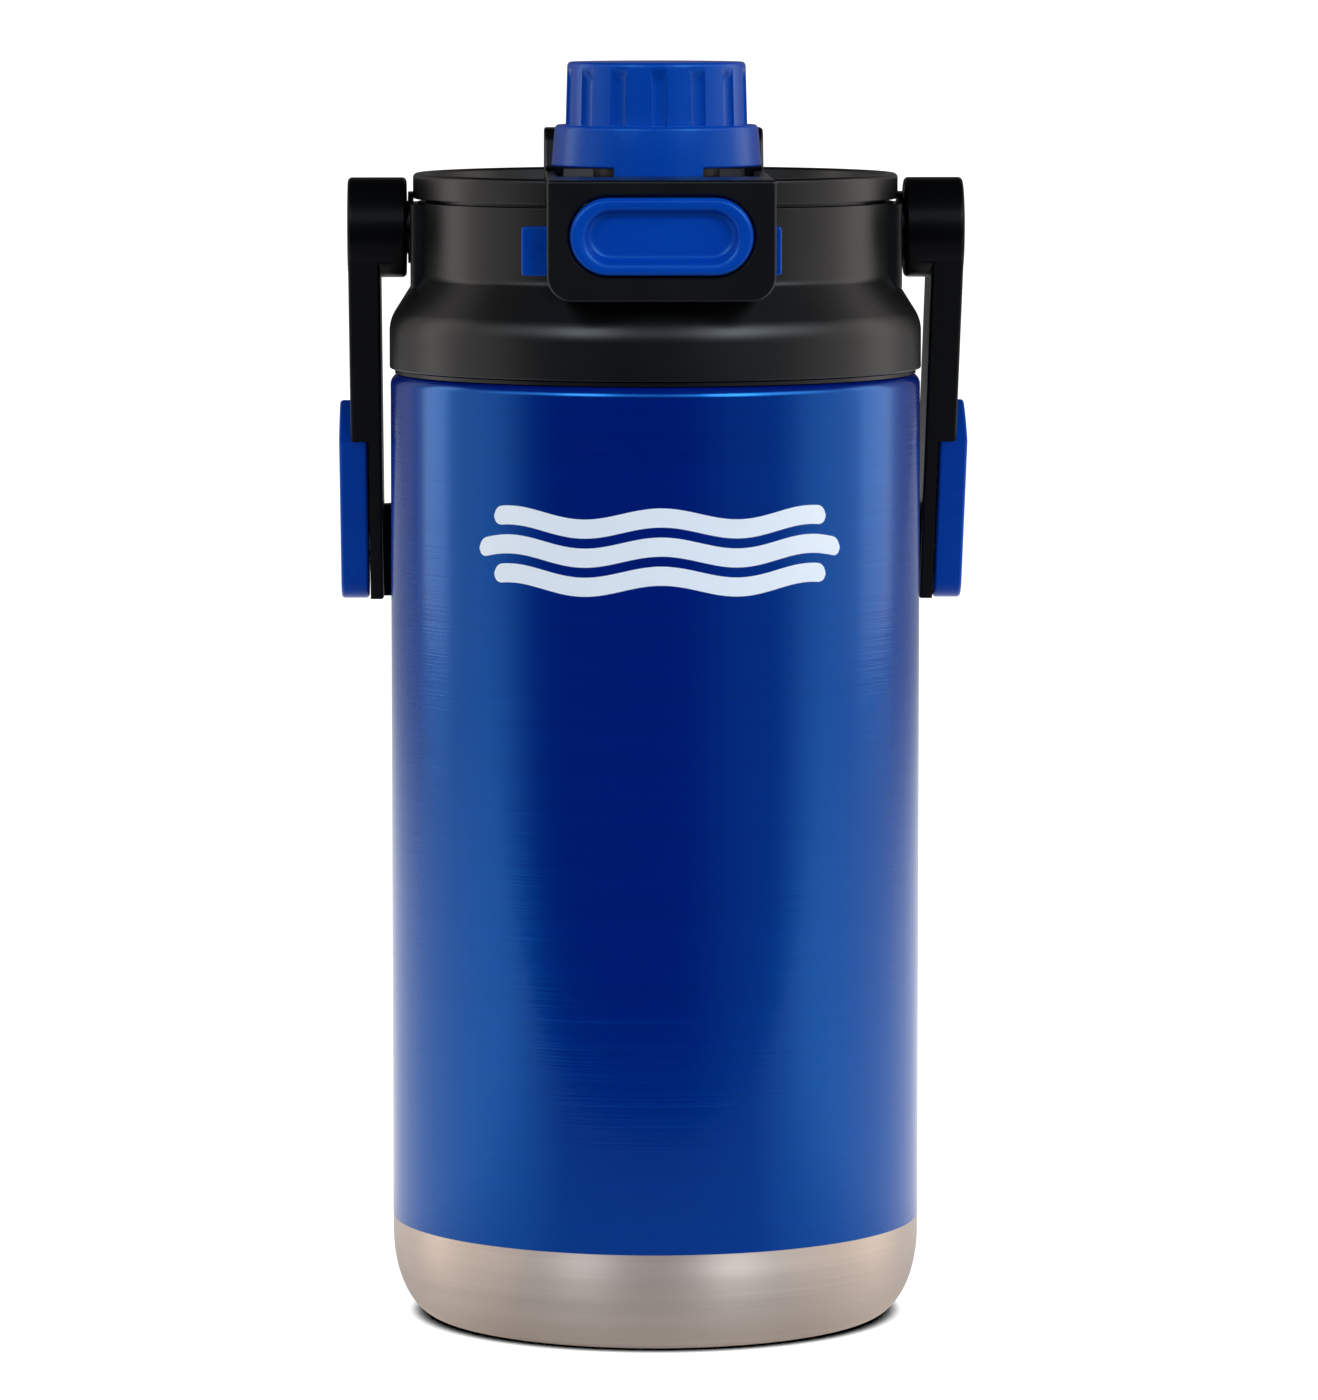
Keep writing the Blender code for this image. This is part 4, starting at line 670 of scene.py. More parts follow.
def turned_on_side(name, look, side, centre, corners, segments=SMALL_SEGMENTS):
    """Solid turned about a level line through the centre (y, z), from corners (radius, x, edge radius)."""
    outline = rounded([(radius, side * x, edge) for radius, x, edge in corners], EDGE_STEPS)
    return turned(name, outline, look, segments, (0, *centre), "X")


def carve(target, joined=(), cut=(), shared=()):
    """Join solids to the target, keep only what it shares with others, cut more away, and drop the tools."""
    steps = [("UNION", tool) for tool in joined]
    steps += [("INTERSECT", tool) for tool in shared]
    steps += [("DIFFERENCE", tool) for tool in cut]
    for operation, tool in steps:
        modifier = target.modifiers.new("carve", "BOOLEAN")
        modifier.operation = operation
        modifier.solver = "EXACT"
        modifier.object = tool
    apply_modifiers(target)
    for _, tool in steps:
        bpy.data.objects.remove(tool, do_unlink=True)
    return target


def apply_modifiers(target):
    depsgraph = bpy.context.evaluated_depsgraph_get()
    mesh = bpy.data.meshes.new_from_object(target.evaluated_get(depsgraph))
    mesh.name = target.name
    target.modifiers.clear()
    target.data = mesh


def settle(item, body, slot, *nodes):
    """Shade a finished piece, hang it on the empty of the body it rides on, and hide the CAD nodes that it
    stands for; slot is not used.
    """
    item.data.shade_smooth()
    item.data.set_sharp_from_angle(angle=math.radians(SHARP_DEGREES))
    modifier = item.modifiers.new("normals", "WEIGHTED_NORMAL")
    modifier.keep_sharp = True
    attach(item, body)
    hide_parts(*nodes)


def side_name(side):
    return "right" if side > 0 else "left"


# ---------------------------------------------------------------- bottle

def make_paint():
    inner = BODY_RADIUS - WALL
    outline = rounded([
        (BODY_RADIUS, CUP_TOP_Z, 0),
        (BODY_RADIUS, SHOULDER_Z, SHOULDER_ROUND),
        (NECK_RADIUS + GAP, SHOULDER_Z, 0),
        (NECK_RADIUS + GAP, SHOULDER_Z - WALL, 0),
        (inner, SHOULDER_Z - WALL, SHOULDER_ROUND - WALL),
        (inner, CUP_TOP_Z, 0),
    ])
    settle(turned("painted_wall", outline, "blue_paint"), "bottle", "blue_paint", "outer_shell")


def make_neck():
    inner = NECK_RADIUS - WALL
    outline = rounded([
        (NECK_RADIUS, SHOULDER_Z - WALL, 0),
        (NECK_RADIUS, NECK_TOP_Z, WALL / 3),
        (inner, NECK_TOP_Z, WALL / 3),
        (inner, SHOULDER_Z - WALL, 0),
    ], EDGE_STEPS)
    neck = turned("bottle_neck", outline, "brushed_steel")
    settle(carve(neck, [make_thread()]), "bottle", "brushed_steel", "neck_ring")


def make_gap_shade_ring():
    """Black ring on the shoulder, which fills the narrow gap under the lid so that it shows dark: painted
    shade for that gap.
    """
    bottom = SHOULDER_Z - PAINT_FILM
    top = COLLAR_BOTTOM_Z - GAP_SHADE_CLEARANCE
    outline = rounded([
        (GAP_SHADE_INNER, bottom, 0), (GAP_SHADE_OUTER, bottom, 0), (GAP_SHADE_OUTER, top, GAP_SHADE_CLEARANCE),
        (GAP_SHADE_INNER, top, 0),
    ], EDGE_STEPS)
    settle(turned("neck_gap_shade", outline, "black_plastic"), "bottle", "black_plastic")


def make_thread():
    """Three helical ridges round the neck, with ends that run out into it."""
    shape = bmesh.new()
    for start in range(THREAD_STARTS):
        rings = []
        for step in range(THREAD_STEPS + 1):
            part = step / THREAD_STEPS
            turned_degrees = THREAD_SPAN_DEGREES * part
            angle = math.radians(turned_degrees + 360 * start / THREAD_STARTS)
            middle = THREAD_BOTTOM_Z + THREAD_LEAD * turned_degrees / 360
            fade = min(1, THREAD_FADE * part, THREAD_FADE * (1 - part))
            root = NECK_RADIUS - GAP
            crest = NECK_RADIUS + THREAD_HEIGHT * fade - GAP * (1 - fade) / 2
            rings.append(at_angle(angle, (
                (root, middle - THREAD_BASE / 2), (root, middle + THREAD_BASE / 2),
                (crest, middle + THREAD_CREST / 2), (crest, middle - THREAD_CREST / 2),
            )))
        loft(shape, rings)
    return finish_mesh("thread", shape, "brushed_steel")


def cup_line(distance, steps):
    """Half outline of the base cup, from its centre to its top edge, moved inwards."""
    groove = FOOT_GROOVE_DEPTH + distance
    radius = BODY_RADIUS - PAINT_FILM
    line = [
        Vector((0, distance)),
        Vector((FOOT_GROOVE_INNER - distance / 2, distance)),
        Vector((FOOT_GROOVE_INNER + FOOT_GROOVE_SLOPE - distance / 2, groove)),
        Vector((FOOT_GROOVE_OUTER - FOOT_GROOVE_SLOPE + distance / 2, groove)),
        Vector((FOOT_GROOVE_OUTER + distance / 2, distance)),
    ]
    radii = (CUP_CORNER_WIDTH - distance, CUP_CORNER_HEIGHT - distance)
    line += arc((radius - CUP_CORNER_WIDTH, CUP_CORNER_HEIGHT), radii, -90, 0, steps)
    line.append(Vector((radius - distance, CUP_TOP_Z)))
    return line


def make_base():
    outline = cup_line(0, 40) + cup_line(WALL, 16)[::-1]
    settle(turned("steel_base", outline, "brushed_steel"), "bottle", "brushed_steel", "base_cup")


def make_vessel():
    outer = BODY_RADIUS - LINER_GAP
    inner = outer - WALL
    neck = NECK_RADIUS - WALL - GAP
    shoulder = LINER_SHOULDER_Z - LINER_SHOULDER_RISE
    outline = rounded([
        (0, LINER_FLOOR_Z, 0),
        (outer, LINER_FLOOR_Z, LINER_CORNER),
        (outer, shoulder, LINER_SHOULDER_ROUND),
        (neck, LINER_SHOULDER_Z, LINER_NECK_ROUND),
        (neck, NECK_TOP_Z, WALL / 3),
        (neck - WALL, NECK_TOP_Z, WALL / 3),
        (neck - WALL, LINER_SHOULDER_Z - WALL, LINER_NECK_ROUND),
        (inner, shoulder - WALL, LINER_SHOULDER_ROUND),
        (inner, LINER_FLOOR_Z + WALL, LINER_CORNER - WALL),
        (0, LINER_FLOOR_Z + WALL, 0),
    ], EDGE_STEPS)
    vessel = turned("inner_vessel", outline, "brushed_steel", VESSEL_SEGMENTS)
    settle(vessel, "bottle", "brushed_steel", "inner_liner")


def make_emblem():
    """Three printed wave ribbons that follow the round wall."""
    shape = bmesh.new()
    for row in (-1, 0, 1):
        rings = []
        half_length = WAVE_HALF_LENGTH - abs(row) * WAVE_THICKNESS
        for step in range(WAVE_STEPS + 1):
            along = half_length * (2 * step / WAVE_STEPS - 1)
            phase = WAVE_COUNT * math.pi * (along / WAVE_HALF_LENGTH) + math.pi / 2
            middle = WAVE_CENTRE_Z + row * WAVE_SPACING + WAVE_HEIGHT * math.sin(phase)
            to_end = (half_length - abs(along)) / (WAVE_THICKNESS / 2)
            half = WAVE_THICKNESS / 2 * math.sqrt(max(0.02, 1 - max(0, 1 - to_end) ** 2))
            angle = along / BODY_RADIUS - math.radians(90)
            rings.append(at_angle(angle, (
                (BODY_RADIUS - PRINT_FILM, middle - half), (BODY_RADIUS - PRINT_FILM, middle + half),
                (BODY_RADIUS + PRINT_FILM, middle + half), (BODY_RADIUS + PRINT_FILM, middle - half),
            )))
        loft(shape, rings)
    settle(finish_mesh("wave_emblem", shape, "print"), "bottle", "blue_paint")


# ---------------------------------------------------------------- lid shell

def collar_line(offset, bottom, top):
    rise = offset * 0.3
    return [
        (COLLAR_RADIUS + offset, bottom, 0),
        (COLLAR_RADIUS + offset, COLLAR_SHOULDER_Z + rise, COLLAR_SHOULDER_ROUND),
        (WAIST_RADIUS + offset, WAIST_BOTTOM_Z + rise, WAIST_FILLET),
        (WAIST_RADIUS + offset, top, 0),
    ]


def make_collar():
    outer = collar_line(0, COLLAR_BOTTOM_Z, COLLAR_TOP_Z)
    outer[0] = (COLLAR_RADIUS, COLLAR_BOTTOM_Z, COLLAR_EDGE)
    outer[3] = (WAIST_RADIUS, COLLAR_TOP_Z, GAP)
    inner = collar_line(-COLLAR_WALL, COLLAR_BOTTOM_Z, COLLAR_TOP_Z)[::-1]
    collar = turned("lid_collar_shell", rounded(outer + inner), "black_plastic")
    joined = []
    for side in (-1, 1):
        joined += [make_pad(side), make_stub(side)]
    settle(carve(collar, joined), "lid", "black_plastic", "lid_collar")


def make_pad(side):
    """Flat-faced pad with rounded corners, whose back follows the round wall."""
    spread = math.degrees(math.asin(PAD_HALF_WIDTH / PAD_ROOT_RADIUS))
    front = rounded([
        (PAD_ROOT_RADIUS - CUT, -PAD_HALF_WIDTH, 0), (PAD_FACE_X, -PAD_HALF_WIDTH, PAD_ROUND),
        (PAD_FACE_X, PAD_HALF_WIDTH, PAD_ROUND), (PAD_ROOT_RADIUS - CUT, PAD_HALF_WIDTH, 0),
    ], EDGE_STEPS)[1:-1]
    outline = front + arc((0, 0), (PAD_ROOT_RADIUS, PAD_ROOT_RADIUS), spread, -spread, ARC_STEPS)
    outline = [Vector((side * x, y)) for x, y in outline]
    return prism("pad", outline, "Z", PAD_BOTTOM_Z, PAD_TOP_Z)


def make_stub(side):
    root = PAD_FACE_X - STUB_ROOT_DEPTH
    return turned_on_side("stub", "black_plastic", side, (PIVOT_Y, PIVOT_Z), [
        (0, root, 0),
        (STUB_SHOULDER_RADIUS, root, 0),
        (STUB_SHOULDER_RADIUS, STUB_SHOULDER_X, 0.0002),
        (STUB_RADIUS, STUB_SHOULDER_X, 0),
        (STUB_RADIUS, STUB_END_X, 0.0003),
        (STUB_BORE_RADIUS, STUB_END_X, 0),
        (STUB_BORE_RADIUS, STUB_BORE_END_X, 0),
        (0, STUB_BORE_END_X, 0),
    ])


def make_cover():
    """Lid top with its rim, dish and the opening for the latch housing."""
    outline = rounded([
        (0, COVER_UNDERSIDE_Z, 0),
        (COVER_SKIRT_RADIUS, COVER_UNDERSIDE_Z, 0),
        (COVER_SKIRT_RADIUS, RIM_BOTTOM_Z, 0),
        (RIM_RADIUS, RIM_BOTTOM_Z, 0.0003),
        (RIM_RADIUS, RIM_TOP_Z, RIM_ROUND),
        (RIM_INNER_RADIUS, RIM_TOP_Z, RIM_ROUND),
        (DISH_RADIUS, DISH_Z, 0.0020),
        (0, DISH_Z, 0),
    ])
    cover = turned("lid_cover", outline, "black_plastic")
    half = BRIDGE_HALF_WIDTH + GAP
    notch = rectangle(-half, -RIM_RADIUS - CUT, half, BRIDGE_DECK_END_Y)
    hole = circle(0, SPOUT_Y, SPOUT_HOLE, SPOUT_SEGMENTS)
    carve(cover, cut=[
        prism("notch", notch, "Z", DISH_Z, RIM_TOP_Z + CUT),
        prism("hole", hole, "Z", COVER_UNDERSIDE_Z - CUT, DISH_Z + CUT),
    ])
    settle(cover, "lid", "black_plastic", "lid_top")


# ---------------------------------------------------------------- spout and flip cap

def make_spout():
    foot = DISH_Z + GAP
    outline = rounded([
        (SPOUT_BORE, SPOUT_BOTTOM_Z, 0),
        (SPOUT_RADIUS, SPOUT_BOTTOM_Z, 0),
        (SPOUT_RADIUS, foot, 0),
        (SPOUT_FLANGE_RADIUS, foot, 0),
        (SPOUT_FLANGE_RADIUS, SPOUT_FLANGE_TOP_Z, 0.0006),
        (SPOUT_RADIUS, SPOUT_FLANGE_TOP_Z, 0.0008),
        (SPOUT_RADIUS, SPOUT_TOP_Z, 0.0009),
        (SPOUT_BORE, SPOUT_TOP_Z, 0.0009),
    ], EDGE_STEPS)
    spout = turned("drinking_spout", outline, "black_plastic", SPOUT_SEGMENTS, (0, SPOUT_Y, 0))
    settle(spout, "lid", "black_plastic", "spout")


def cap_profile():
    """(radius, height, part of the groove depth) from the inner ceiling round to the middle of the top."""
    plain = rounded([
        (CAP_MIDDLE_RADIUS, CAP_CEILING_Z, 0),
        (CAP_INNER_RADIUS, CAP_CEILING_Z, 0.0012),
        (CAP_INNER_RADIUS, CAP_FLANGE_BOTTOM_Z, 0),
        (CAP_FLANGE_BOTTOM_RADIUS, CAP_FLANGE_BOTTOM_Z, 0.0005),
        (CAP_FLANGE_TOP_RADIUS, CAP_FLANGE_TOP_Z, CAP_FLANGE_ROUND),
    ], EDGE_STEPS)
    profile = [(radius, height, 0.0) for radius, height in plain]
    fillet = 0.0004
    profile.append((CAP_DOME_BOTTOM_RADIUS + fillet, CAP_FLANGE_TOP_Z, 1.0))
    profile.append((CAP_DOME_BOTTOM_RADIUS + fillet / 4, CAP_FLANGE_TOP_Z + fillet / 4, 1.0))
    for height in (CAP_FLANGE_TOP_Z + fillet, *RIB_GROOVE_HEIGHTS, RIB_GROOVE_TOP_Z):
        rise = (height - CAP_FLANGE_TOP_Z) / (CAP_TOP_Z - CAP_FLANGE_TOP_Z)
        radius = CAP_DOME_BOTTOM_RADIUS + (CAP_DOME_TOP_RADIUS - CAP_DOME_BOTTOM_RADIUS) * rise
        fade = min(1.0, max(0.0, (RIB_GROOVE_TOP_Z - height) / RIB_GROOVE_FADE))
        profile.append((radius, height, fade * fade * (3 - 2 * fade)))
    centre = (CAP_DOME_TOP_RADIUS - CAP_TOP_ROUND, CAP_TOP_Z - CAP_TOP_ROUND)
    for radius, height in arc(centre, (CAP_TOP_ROUND, CAP_TOP_ROUND), 0, 90, 6)[1:]:
        profile.append((radius, height, 0.0))
    profile.append((CAP_DOME_TOP_RADIUS * 0.6, CAP_TOP_Z, 0.0))
    profile.append((CAP_MIDDLE_RADIUS, CAP_TOP_Z, 0.0))
    return profile


def make_cap():
    pitch = 360 / RIB_GROOVES
    rings = []
    for radius, height, depth in cap_profile():
        ring = []
        for groove in range(RIB_GROOVES):
            for sample in (-pitch / 2,) + RIB_SAMPLES:
                sunk = math.sqrt(max(0.0, 1 - (sample / RIB_GROOVE_DEGREES) ** 2)) * RIB_GROOVE_DEPTH * depth
                angle = math.radians(-90 + groove * pitch + sample)
                reach = radius - sunk
                ring.append(Vector((reach * math.cos(angle), SPOUT_Y + reach * math.sin(angle), height)))
        rings.append(ring)
    cap = lofted("flip_cap_shell", rings, "blue_plastic")
    slot_far = HINGE_Y + HINGE_KNUCKLE_RADIUS + CUT
    slot = rectangle(HINGE_SLOT_START_Y, HINGE_Z - CUT * 2, slot_far, HINGE_Z + CUT * 2)
    bore = circle(HINGE_Y, HINGE_Z, HINGE_BORE_RADIUS, 24)
    reach = HINGE_LUG_HALF_WIDTH + CUT
    carve(cap, joined=[make_tab(), make_lug()], cut=[
        prism("lug_slot", slot, "X", -HINGE_SLOT_HALF_WIDTH, HINGE_SLOT_HALF_WIDTH),
        prism("lug_bore", bore, "X", -reach, reach),
    ])
    settle(cap, "cap", "blue_plastic", "flip_cap")


def make_tab():
    """Latch tab under the cap's front, as round as the flange that it hangs from."""
    outline = rounded([
        (-TAB_HALF_WIDTH_BOTTOM, TAB_BOTTOM_Z, 0.0008), (TAB_HALF_WIDTH_BOTTOM, TAB_BOTTOM_Z, 0.0008),
        (TAB_HALF_WIDTH_TOP, TAB_TOP_Z, 0), (-TAB_HALF_WIDTH_TOP, TAB_TOP_Z, 0),
    ], EDGE_STEPS)
    front = SPOUT_Y - CAP_FLANGE_BOTTOM_RADIUS
    tab = prism("tab", outline, "Y", front - CUT, front + TAB_THICKNESS)
    disc = rounded([
        (0, TAB_BOTTOM_Z - CUT, 0), (CAP_FLANGE_BOTTOM_RADIUS, TAB_BOTTOM_Z - CUT, 0),
        (CAP_FLANGE_BOTTOM_RADIUS - 0.00004, CAP_FLANGE_BOTTOM_Z + 0.0006, 0),
        (CAP_FLANGE_TOP_RADIUS, TAB_TOP_Z + CUT, 0), (0, TAB_TOP_Z + CUT, 0),
    ])
    return carve(tab, shared=[turned("disc", disc, "blue_plastic", TAB_SEGMENTS, (0, SPOUT_Y, 0))])


def make_lug():
    """Arm from the cap's rear to the hinge, ending round the pin."""
    outline = [Vector((HINGE_LUG_START_Y, CAP_FLANGE_BOTTOM_Z + GAP))]
    outline += arc((HINGE_Y, HINGE_Z), (HINGE_KNUCKLE_RADIUS, HINGE_KNUCKLE_RADIUS), -100, 90, 24)
    outline.append(Vector((HINGE_LUG_START_Y, HINGE_Z + HINGE_KNUCKLE_RADIUS)))
    half = HINGE_LUG_HALF_WIDTH
    return prism("lug", outline, "X", -half, half, "blue_plastic", HINGE_LUG_EDGE, HINGE_LUG_EDGE)


def make_pin():
    half = HINGE_PIN_HALF_LENGTH
    outline = rounded([
        (0, -half, 0), (HINGE_PIN_RADIUS, -half, 0.0004), (HINGE_PIN_RADIUS, half, 0.0004), (0, half, 0),
    ], EDGE_STEPS)
    pin = turned("hinge_rod", outline, "spring_steel", 24, (0, HINGE_Y, HINGE_Z), "X")
    settle(pin, "lid", "spring_steel", "hinge_pin")


def coil(name, centre, axis, radius, wire, turns, length):
    """Spring of round wire wound about an axis."""
    steps = turns * COIL_STEPS
    carried = axis_matrix(centre, axis)
    rings = []
    for step in range(steps + 1):
        angle = math.radians(360) * turns * step / steps
        outwards = Vector((math.cos(angle), math.sin(angle), 0))
        middle = outwards * radius + Vector((0, 0, length * (step / steps - 0.5)))
        ring = []
        for u, v in circle(0, 0, wire, WIRE_SIDES):
            ring.append(carried @ (middle + outwards * u + Vector((0, 0, v))))
        rings.append(ring)
    return lofted(name, rings, "spring_steel")


def make_cap_coil():
    spring = coil(
        "cap_coil", (0, HINGE_Y, HINGE_Z), "X", CAP_SPRING_RADIUS, CAP_SPRING_WIRE, CAP_SPRING_TURNS,
        CAP_SPRING_LENGTH,
    )
    settle(spring, "lid", "spring_steel", "cap_spring")


# ---------------------------------------------------------------- latch, button and lock

def make_housing():
    side = rounded([
        (BRIDGE_FRONT_Y - CUT, BRIDGE_BOTTOM_Z - CUT, 0),
        (BRIDGE_FRONT_Y - CUT, BRIDGE_TOP_Z, 0),
        (EAR_FRONT_Y, BRIDGE_TOP_Z, BRIDGE_ROOT_ROUND),
        (EAR_TOP_FRONT_Y, EAR_TOP_Z, EAR_ROUND),
        (EAR_TOP_REAR_Y, EAR_TOP_Z, EAR_ROUND),
        (RAIL_END_Y, BRIDGE_TOP_Z, BRIDGE_ROOT_ROUND),
        (RAIL_END_Y, RAIL_BOTTOM_Z, 0),
        (BRIDGE_HOUSING_END_Y, RAIL_BOTTOM_Z, 0),
        (BRIDGE_HOUSING_END_Y, BRIDGE_BOTTOM_Z - CUT, 0),
    ])
    half = BRIDGE_HALF_WIDTH
    edge = BRIDGE_SIDE_EDGE
    housing = prism("latch_housing", side, "X", -half, half, "black_plastic", edge, edge)
    front = rounded([
        (-half, BRIDGE_BOTTOM_Z, BRIDGE_CORNER),
        (half, BRIDGE_BOTTOM_Z, BRIDGE_CORNER),
        (half, BRIDGE_TOP_Z, BRIDGE_TOP_CORNER),
        (-half, BRIDGE_TOP_Z, BRIDGE_TOP_CORNER),
    ])
    block = prism("block", front, "Y", BRIDGE_FRONT_Y, BRIDGE_BLOCK_END_Y, near_edge=BRIDGE_EDGE)
    rear = rectangle(-half - CUT, BRIDGE_BOTTOM_Z - CUT, half + CUT, EAR_TOP_Z + CUT)
    behind = prism("behind", rear, "Y", BRIDGE_REAR_START_Y, RAIL_END_Y + CUT)
    joined_front = carve(block, joined=[behind])
    wide = half + CUT
    hollow = rounded([
        (BRIDGE_FRONT_Y + BRIDGE_WALL, BRIDGE_BOTTOM_Z + BRIDGE_WALL, 0),
        (BRIDGE_FRONT_Y + BRIDGE_WALL, BRIDGE_TOP_Z - BRIDGE_WALL, 0),
        (BRIDGE_DECK_END_Y, BRIDGE_TOP_Z - BRIDGE_WALL, 0),
        (BRIDGE_DECK_END_Y, EAR_TOP_Z + CUT, 0),
        (EAR_FRONT_Y - GAP, EAR_TOP_Z + CUT, 0),
        (EAR_FRONT_Y - GAP, BRIDGE_BOTTOM_Z + BRIDGE_WALL, 0),
    ])
    hollow_half = half - BRIDGE_WALL
    gap = rectangle(EAR_FRONT_Y - CUT, RAIL_BOTTOM_Z - CUT, RAIL_END_Y + CUT, EAR_TOP_Z + CUT)
    hole = stadium(BUTTON_Z, BUTTON_HALF_WIDTH + BUTTON_CLEARANCE, BUTTON_HALF_HEIGHT + BUTTON_CLEARANCE)
    rings = []
    for growth, depth in BUTTON_HOLE_LEVELS:
        rings.append([place("Y", u, v, BRIDGE_FRONT_Y + depth) for u, v in inset(hole, -growth)])
    slot = rectangle(LOCK_FRONT_Y - GAP, LOCK_BOTTOM_Z - GAP, LOCK_BACK_Y + GAP, LOCK_TOP_Z + GAP)
    bore = circle(HINGE_Y, HINGE_Z, HINGE_BORE_RADIUS, 24)
    carve(housing, shared=[joined_front], cut=[
        prism("hollow", hollow, "X", -hollow_half, hollow_half),
        prism("ear_gap", gap, "X", -EAR_INNER_X, EAR_INNER_X),
        make_collar_room(),
        lofted("button_hole", rings),
        prism("lock_slot", slot, "X", -wide, wide),
        prism("ear_bore", bore, "X", -wide, wide),
    ])
    carve(housing, joined=[make_parting_line(side) for side in (-1, 1)])
    settle(housing, "lid", "black_plastic", "latch_bridge")


def make_parting_line(side):
    """Fine raised mould line beside the button."""
    near_x = BUTTON_HALF_WIDTH + PARTING_START
    far_x = BRIDGE_HALF_WIDTH - BRIDGE_EDGE
    low_x, high_x = sorted((side * near_x, side * far_x))
    outline = rectangle(low_x, PARTING_Z - PARTING_HALF_WIDTH, high_x, PARTING_Z + PARTING_HALF_WIDTH)
    return prism("parting", outline, "Y", BRIDGE_FRONT_Y - PARTING_HEIGHT, BRIDGE_FRONT_Y + 0.0002)


def make_collar_room():
    """Room for the lid collar, a clearance larger than the collar and solid below the dish."""
    outer = collar_line(GAP, COLLAR_BOTTOM_Z, COLLAR_TOP_Z + GAP)
    inner = [
        (WAIST_RADIUS - COLLAR_WALL - GAP, COLLAR_TOP_Z + GAP, 0),
        (WAIST_RADIUS - COLLAR_WALL - GAP, DISH_Z, 0),
        (0, DISH_Z, 0),
    ]
    return turned("collar_room", rounded([(0, COLLAR_BOTTOM_Z, 0)] + outer + inner))


def make_button():
    """Button face with a rounded rim and a soft dish, and the frame that holds the cap's tab."""
    rings = []
    for width_inset, height_inset, depth in BUTTON_PROFILE:
        ring = stadium(BUTTON_Z, BUTTON_HALF_WIDTH - width_inset, BUTTON_HALF_HEIGHT - height_inset, 28)
        rings.append([place("Y", u, v, BUTTON_FRONT_Y + depth) for u, v in ring])
    button = lofted("latch_button", rings, "blue_plastic")
    frame_front = BUTTON_BACK_Y - BRIDGE_WALL / 2
    plate = rectangle(-FRAME_HALF_WIDTH, frame_front, FRAME_HALF_WIDTH, FRAME_REAR_Y, 0.0008)
    window = rectangle(
        -FRAME_WINDOW_HALF_WIDTH, FRAME_WINDOW_FRONT_Y, FRAME_WINDOW_HALF_WIDTH, FRAME_WINDOW_REAR_Y, 0.0008,
    )
    carve(button, joined=[
        prism("plate", plate, "Z", FRAME_BOTTOM_Z, FRAME_TOP_Z),
    ], cut=[
        prism("window", window, "Z", FRAME_BOTTOM_Z - CUT, FRAME_TOP_Z + CUT),
    ])
    settle(button, "button", "blue_plastic", "push_button")


def make_button_coil():
    """Return spring behind the button, which the button presses together."""
    near = BUTTON_BACK_Y + GAP + BUTTON_SPRING_WIRE
    far = -WAIST_RADIUS - GAP - BUTTON_SPRING_WIRE
    centre = (0, (near + far) / 2, BUTTON_SPRING_Z)
    spring = coil(
        "button_coil", centre, "Y", BUTTON_SPRING_RADIUS, BUTTON_SPRING_WIRE, BUTTON_SPRING_TURNS, far - near,
    )
    settle(spring, "lid", "spring_steel", "button_spring")
    apply_modifiers(spring)
    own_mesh(spring)


def make_lock():
    """Sliding lock bar with a small raised padlock on its left end."""
    outline = rectangle(LOCK_LEFT_X, LOCK_BOTTOM_Z, LOCK_RIGHT_X, LOCK_TOP_Z, LOCK_CORNER)
    lock = prism("lock_bar", outline, "Y", LOCK_FRONT_Y, LOCK_BACK_Y, "blue_plastic", LOCK_EDGE, LOCK_EDGE)
    low_x, high_x, low_z, high_z = LOCK_WINDOW
    window = rectangle(low_x, low_z, high_x, high_z, LOCK_CORNER)
    front = LOCK_FRONT_Y - ICON_HEIGHT
    back = LOCK_FRONT_Y + ICON_HEIGHT
    half = ICON_BODY_HALF_WIDTH
    body = rectangle(ICON_X - half, ICON_Z - ICON_BODY_BELOW, ICON_X + half, ICON_Z + ICON_BODY_ABOVE, GAP)
    foot = (ICON_X, ICON_Z + ICON_BOW_RISE)
    bow = []
    for radius, first, last in ((ICON_BOW_OUTER, 10, 170), (ICON_BOW_INNER, 170, 10)):
        way = 1 if last > first else -1
        bow += [Vector((ICON_X + way * radius, ICON_Z)), Vector((ICON_X + way * radius, foot[1]))]
        bow += arc(foot, (radius, radius), first, last, 10) + [Vector((ICON_X - way * radius, ICON_Z))]
    keyhole = circle(ICON_X, ICON_Z, ICON_KEYHOLE, 16)
    carve(lock, cut=[prism("lock_window", window, "Y", LOCK_FRONT_Y - CUT, LOCK_BACK_Y + CUT)])
    carve(lock, joined=[
        prism("padlock", body, "Y", front, back),
        prism("bow", bow, "Y", front, back),
    ], cut=[prism("keyhole", keyhole, "Y", front - CUT, LOCK_FRONT_Y + ICON_HEIGHT / 2)])
    settle(lock, "lock", "blue_plastic", "lock_slider")


# ---------------------------------------------------------------- handle and hooks

def arm_point(along, across):
    """Point (y, z) of an arm, measured from the pivot down the arm and towards its rear edge."""
    lean = math.radians(ARM_LEAN_DEGREES)
    y = along * math.sin(lean) + across * math.cos(lean)
    z = PIVOT_Z - along * math.cos(lean) + across * math.sin(lean)
    return Vector((y, z))


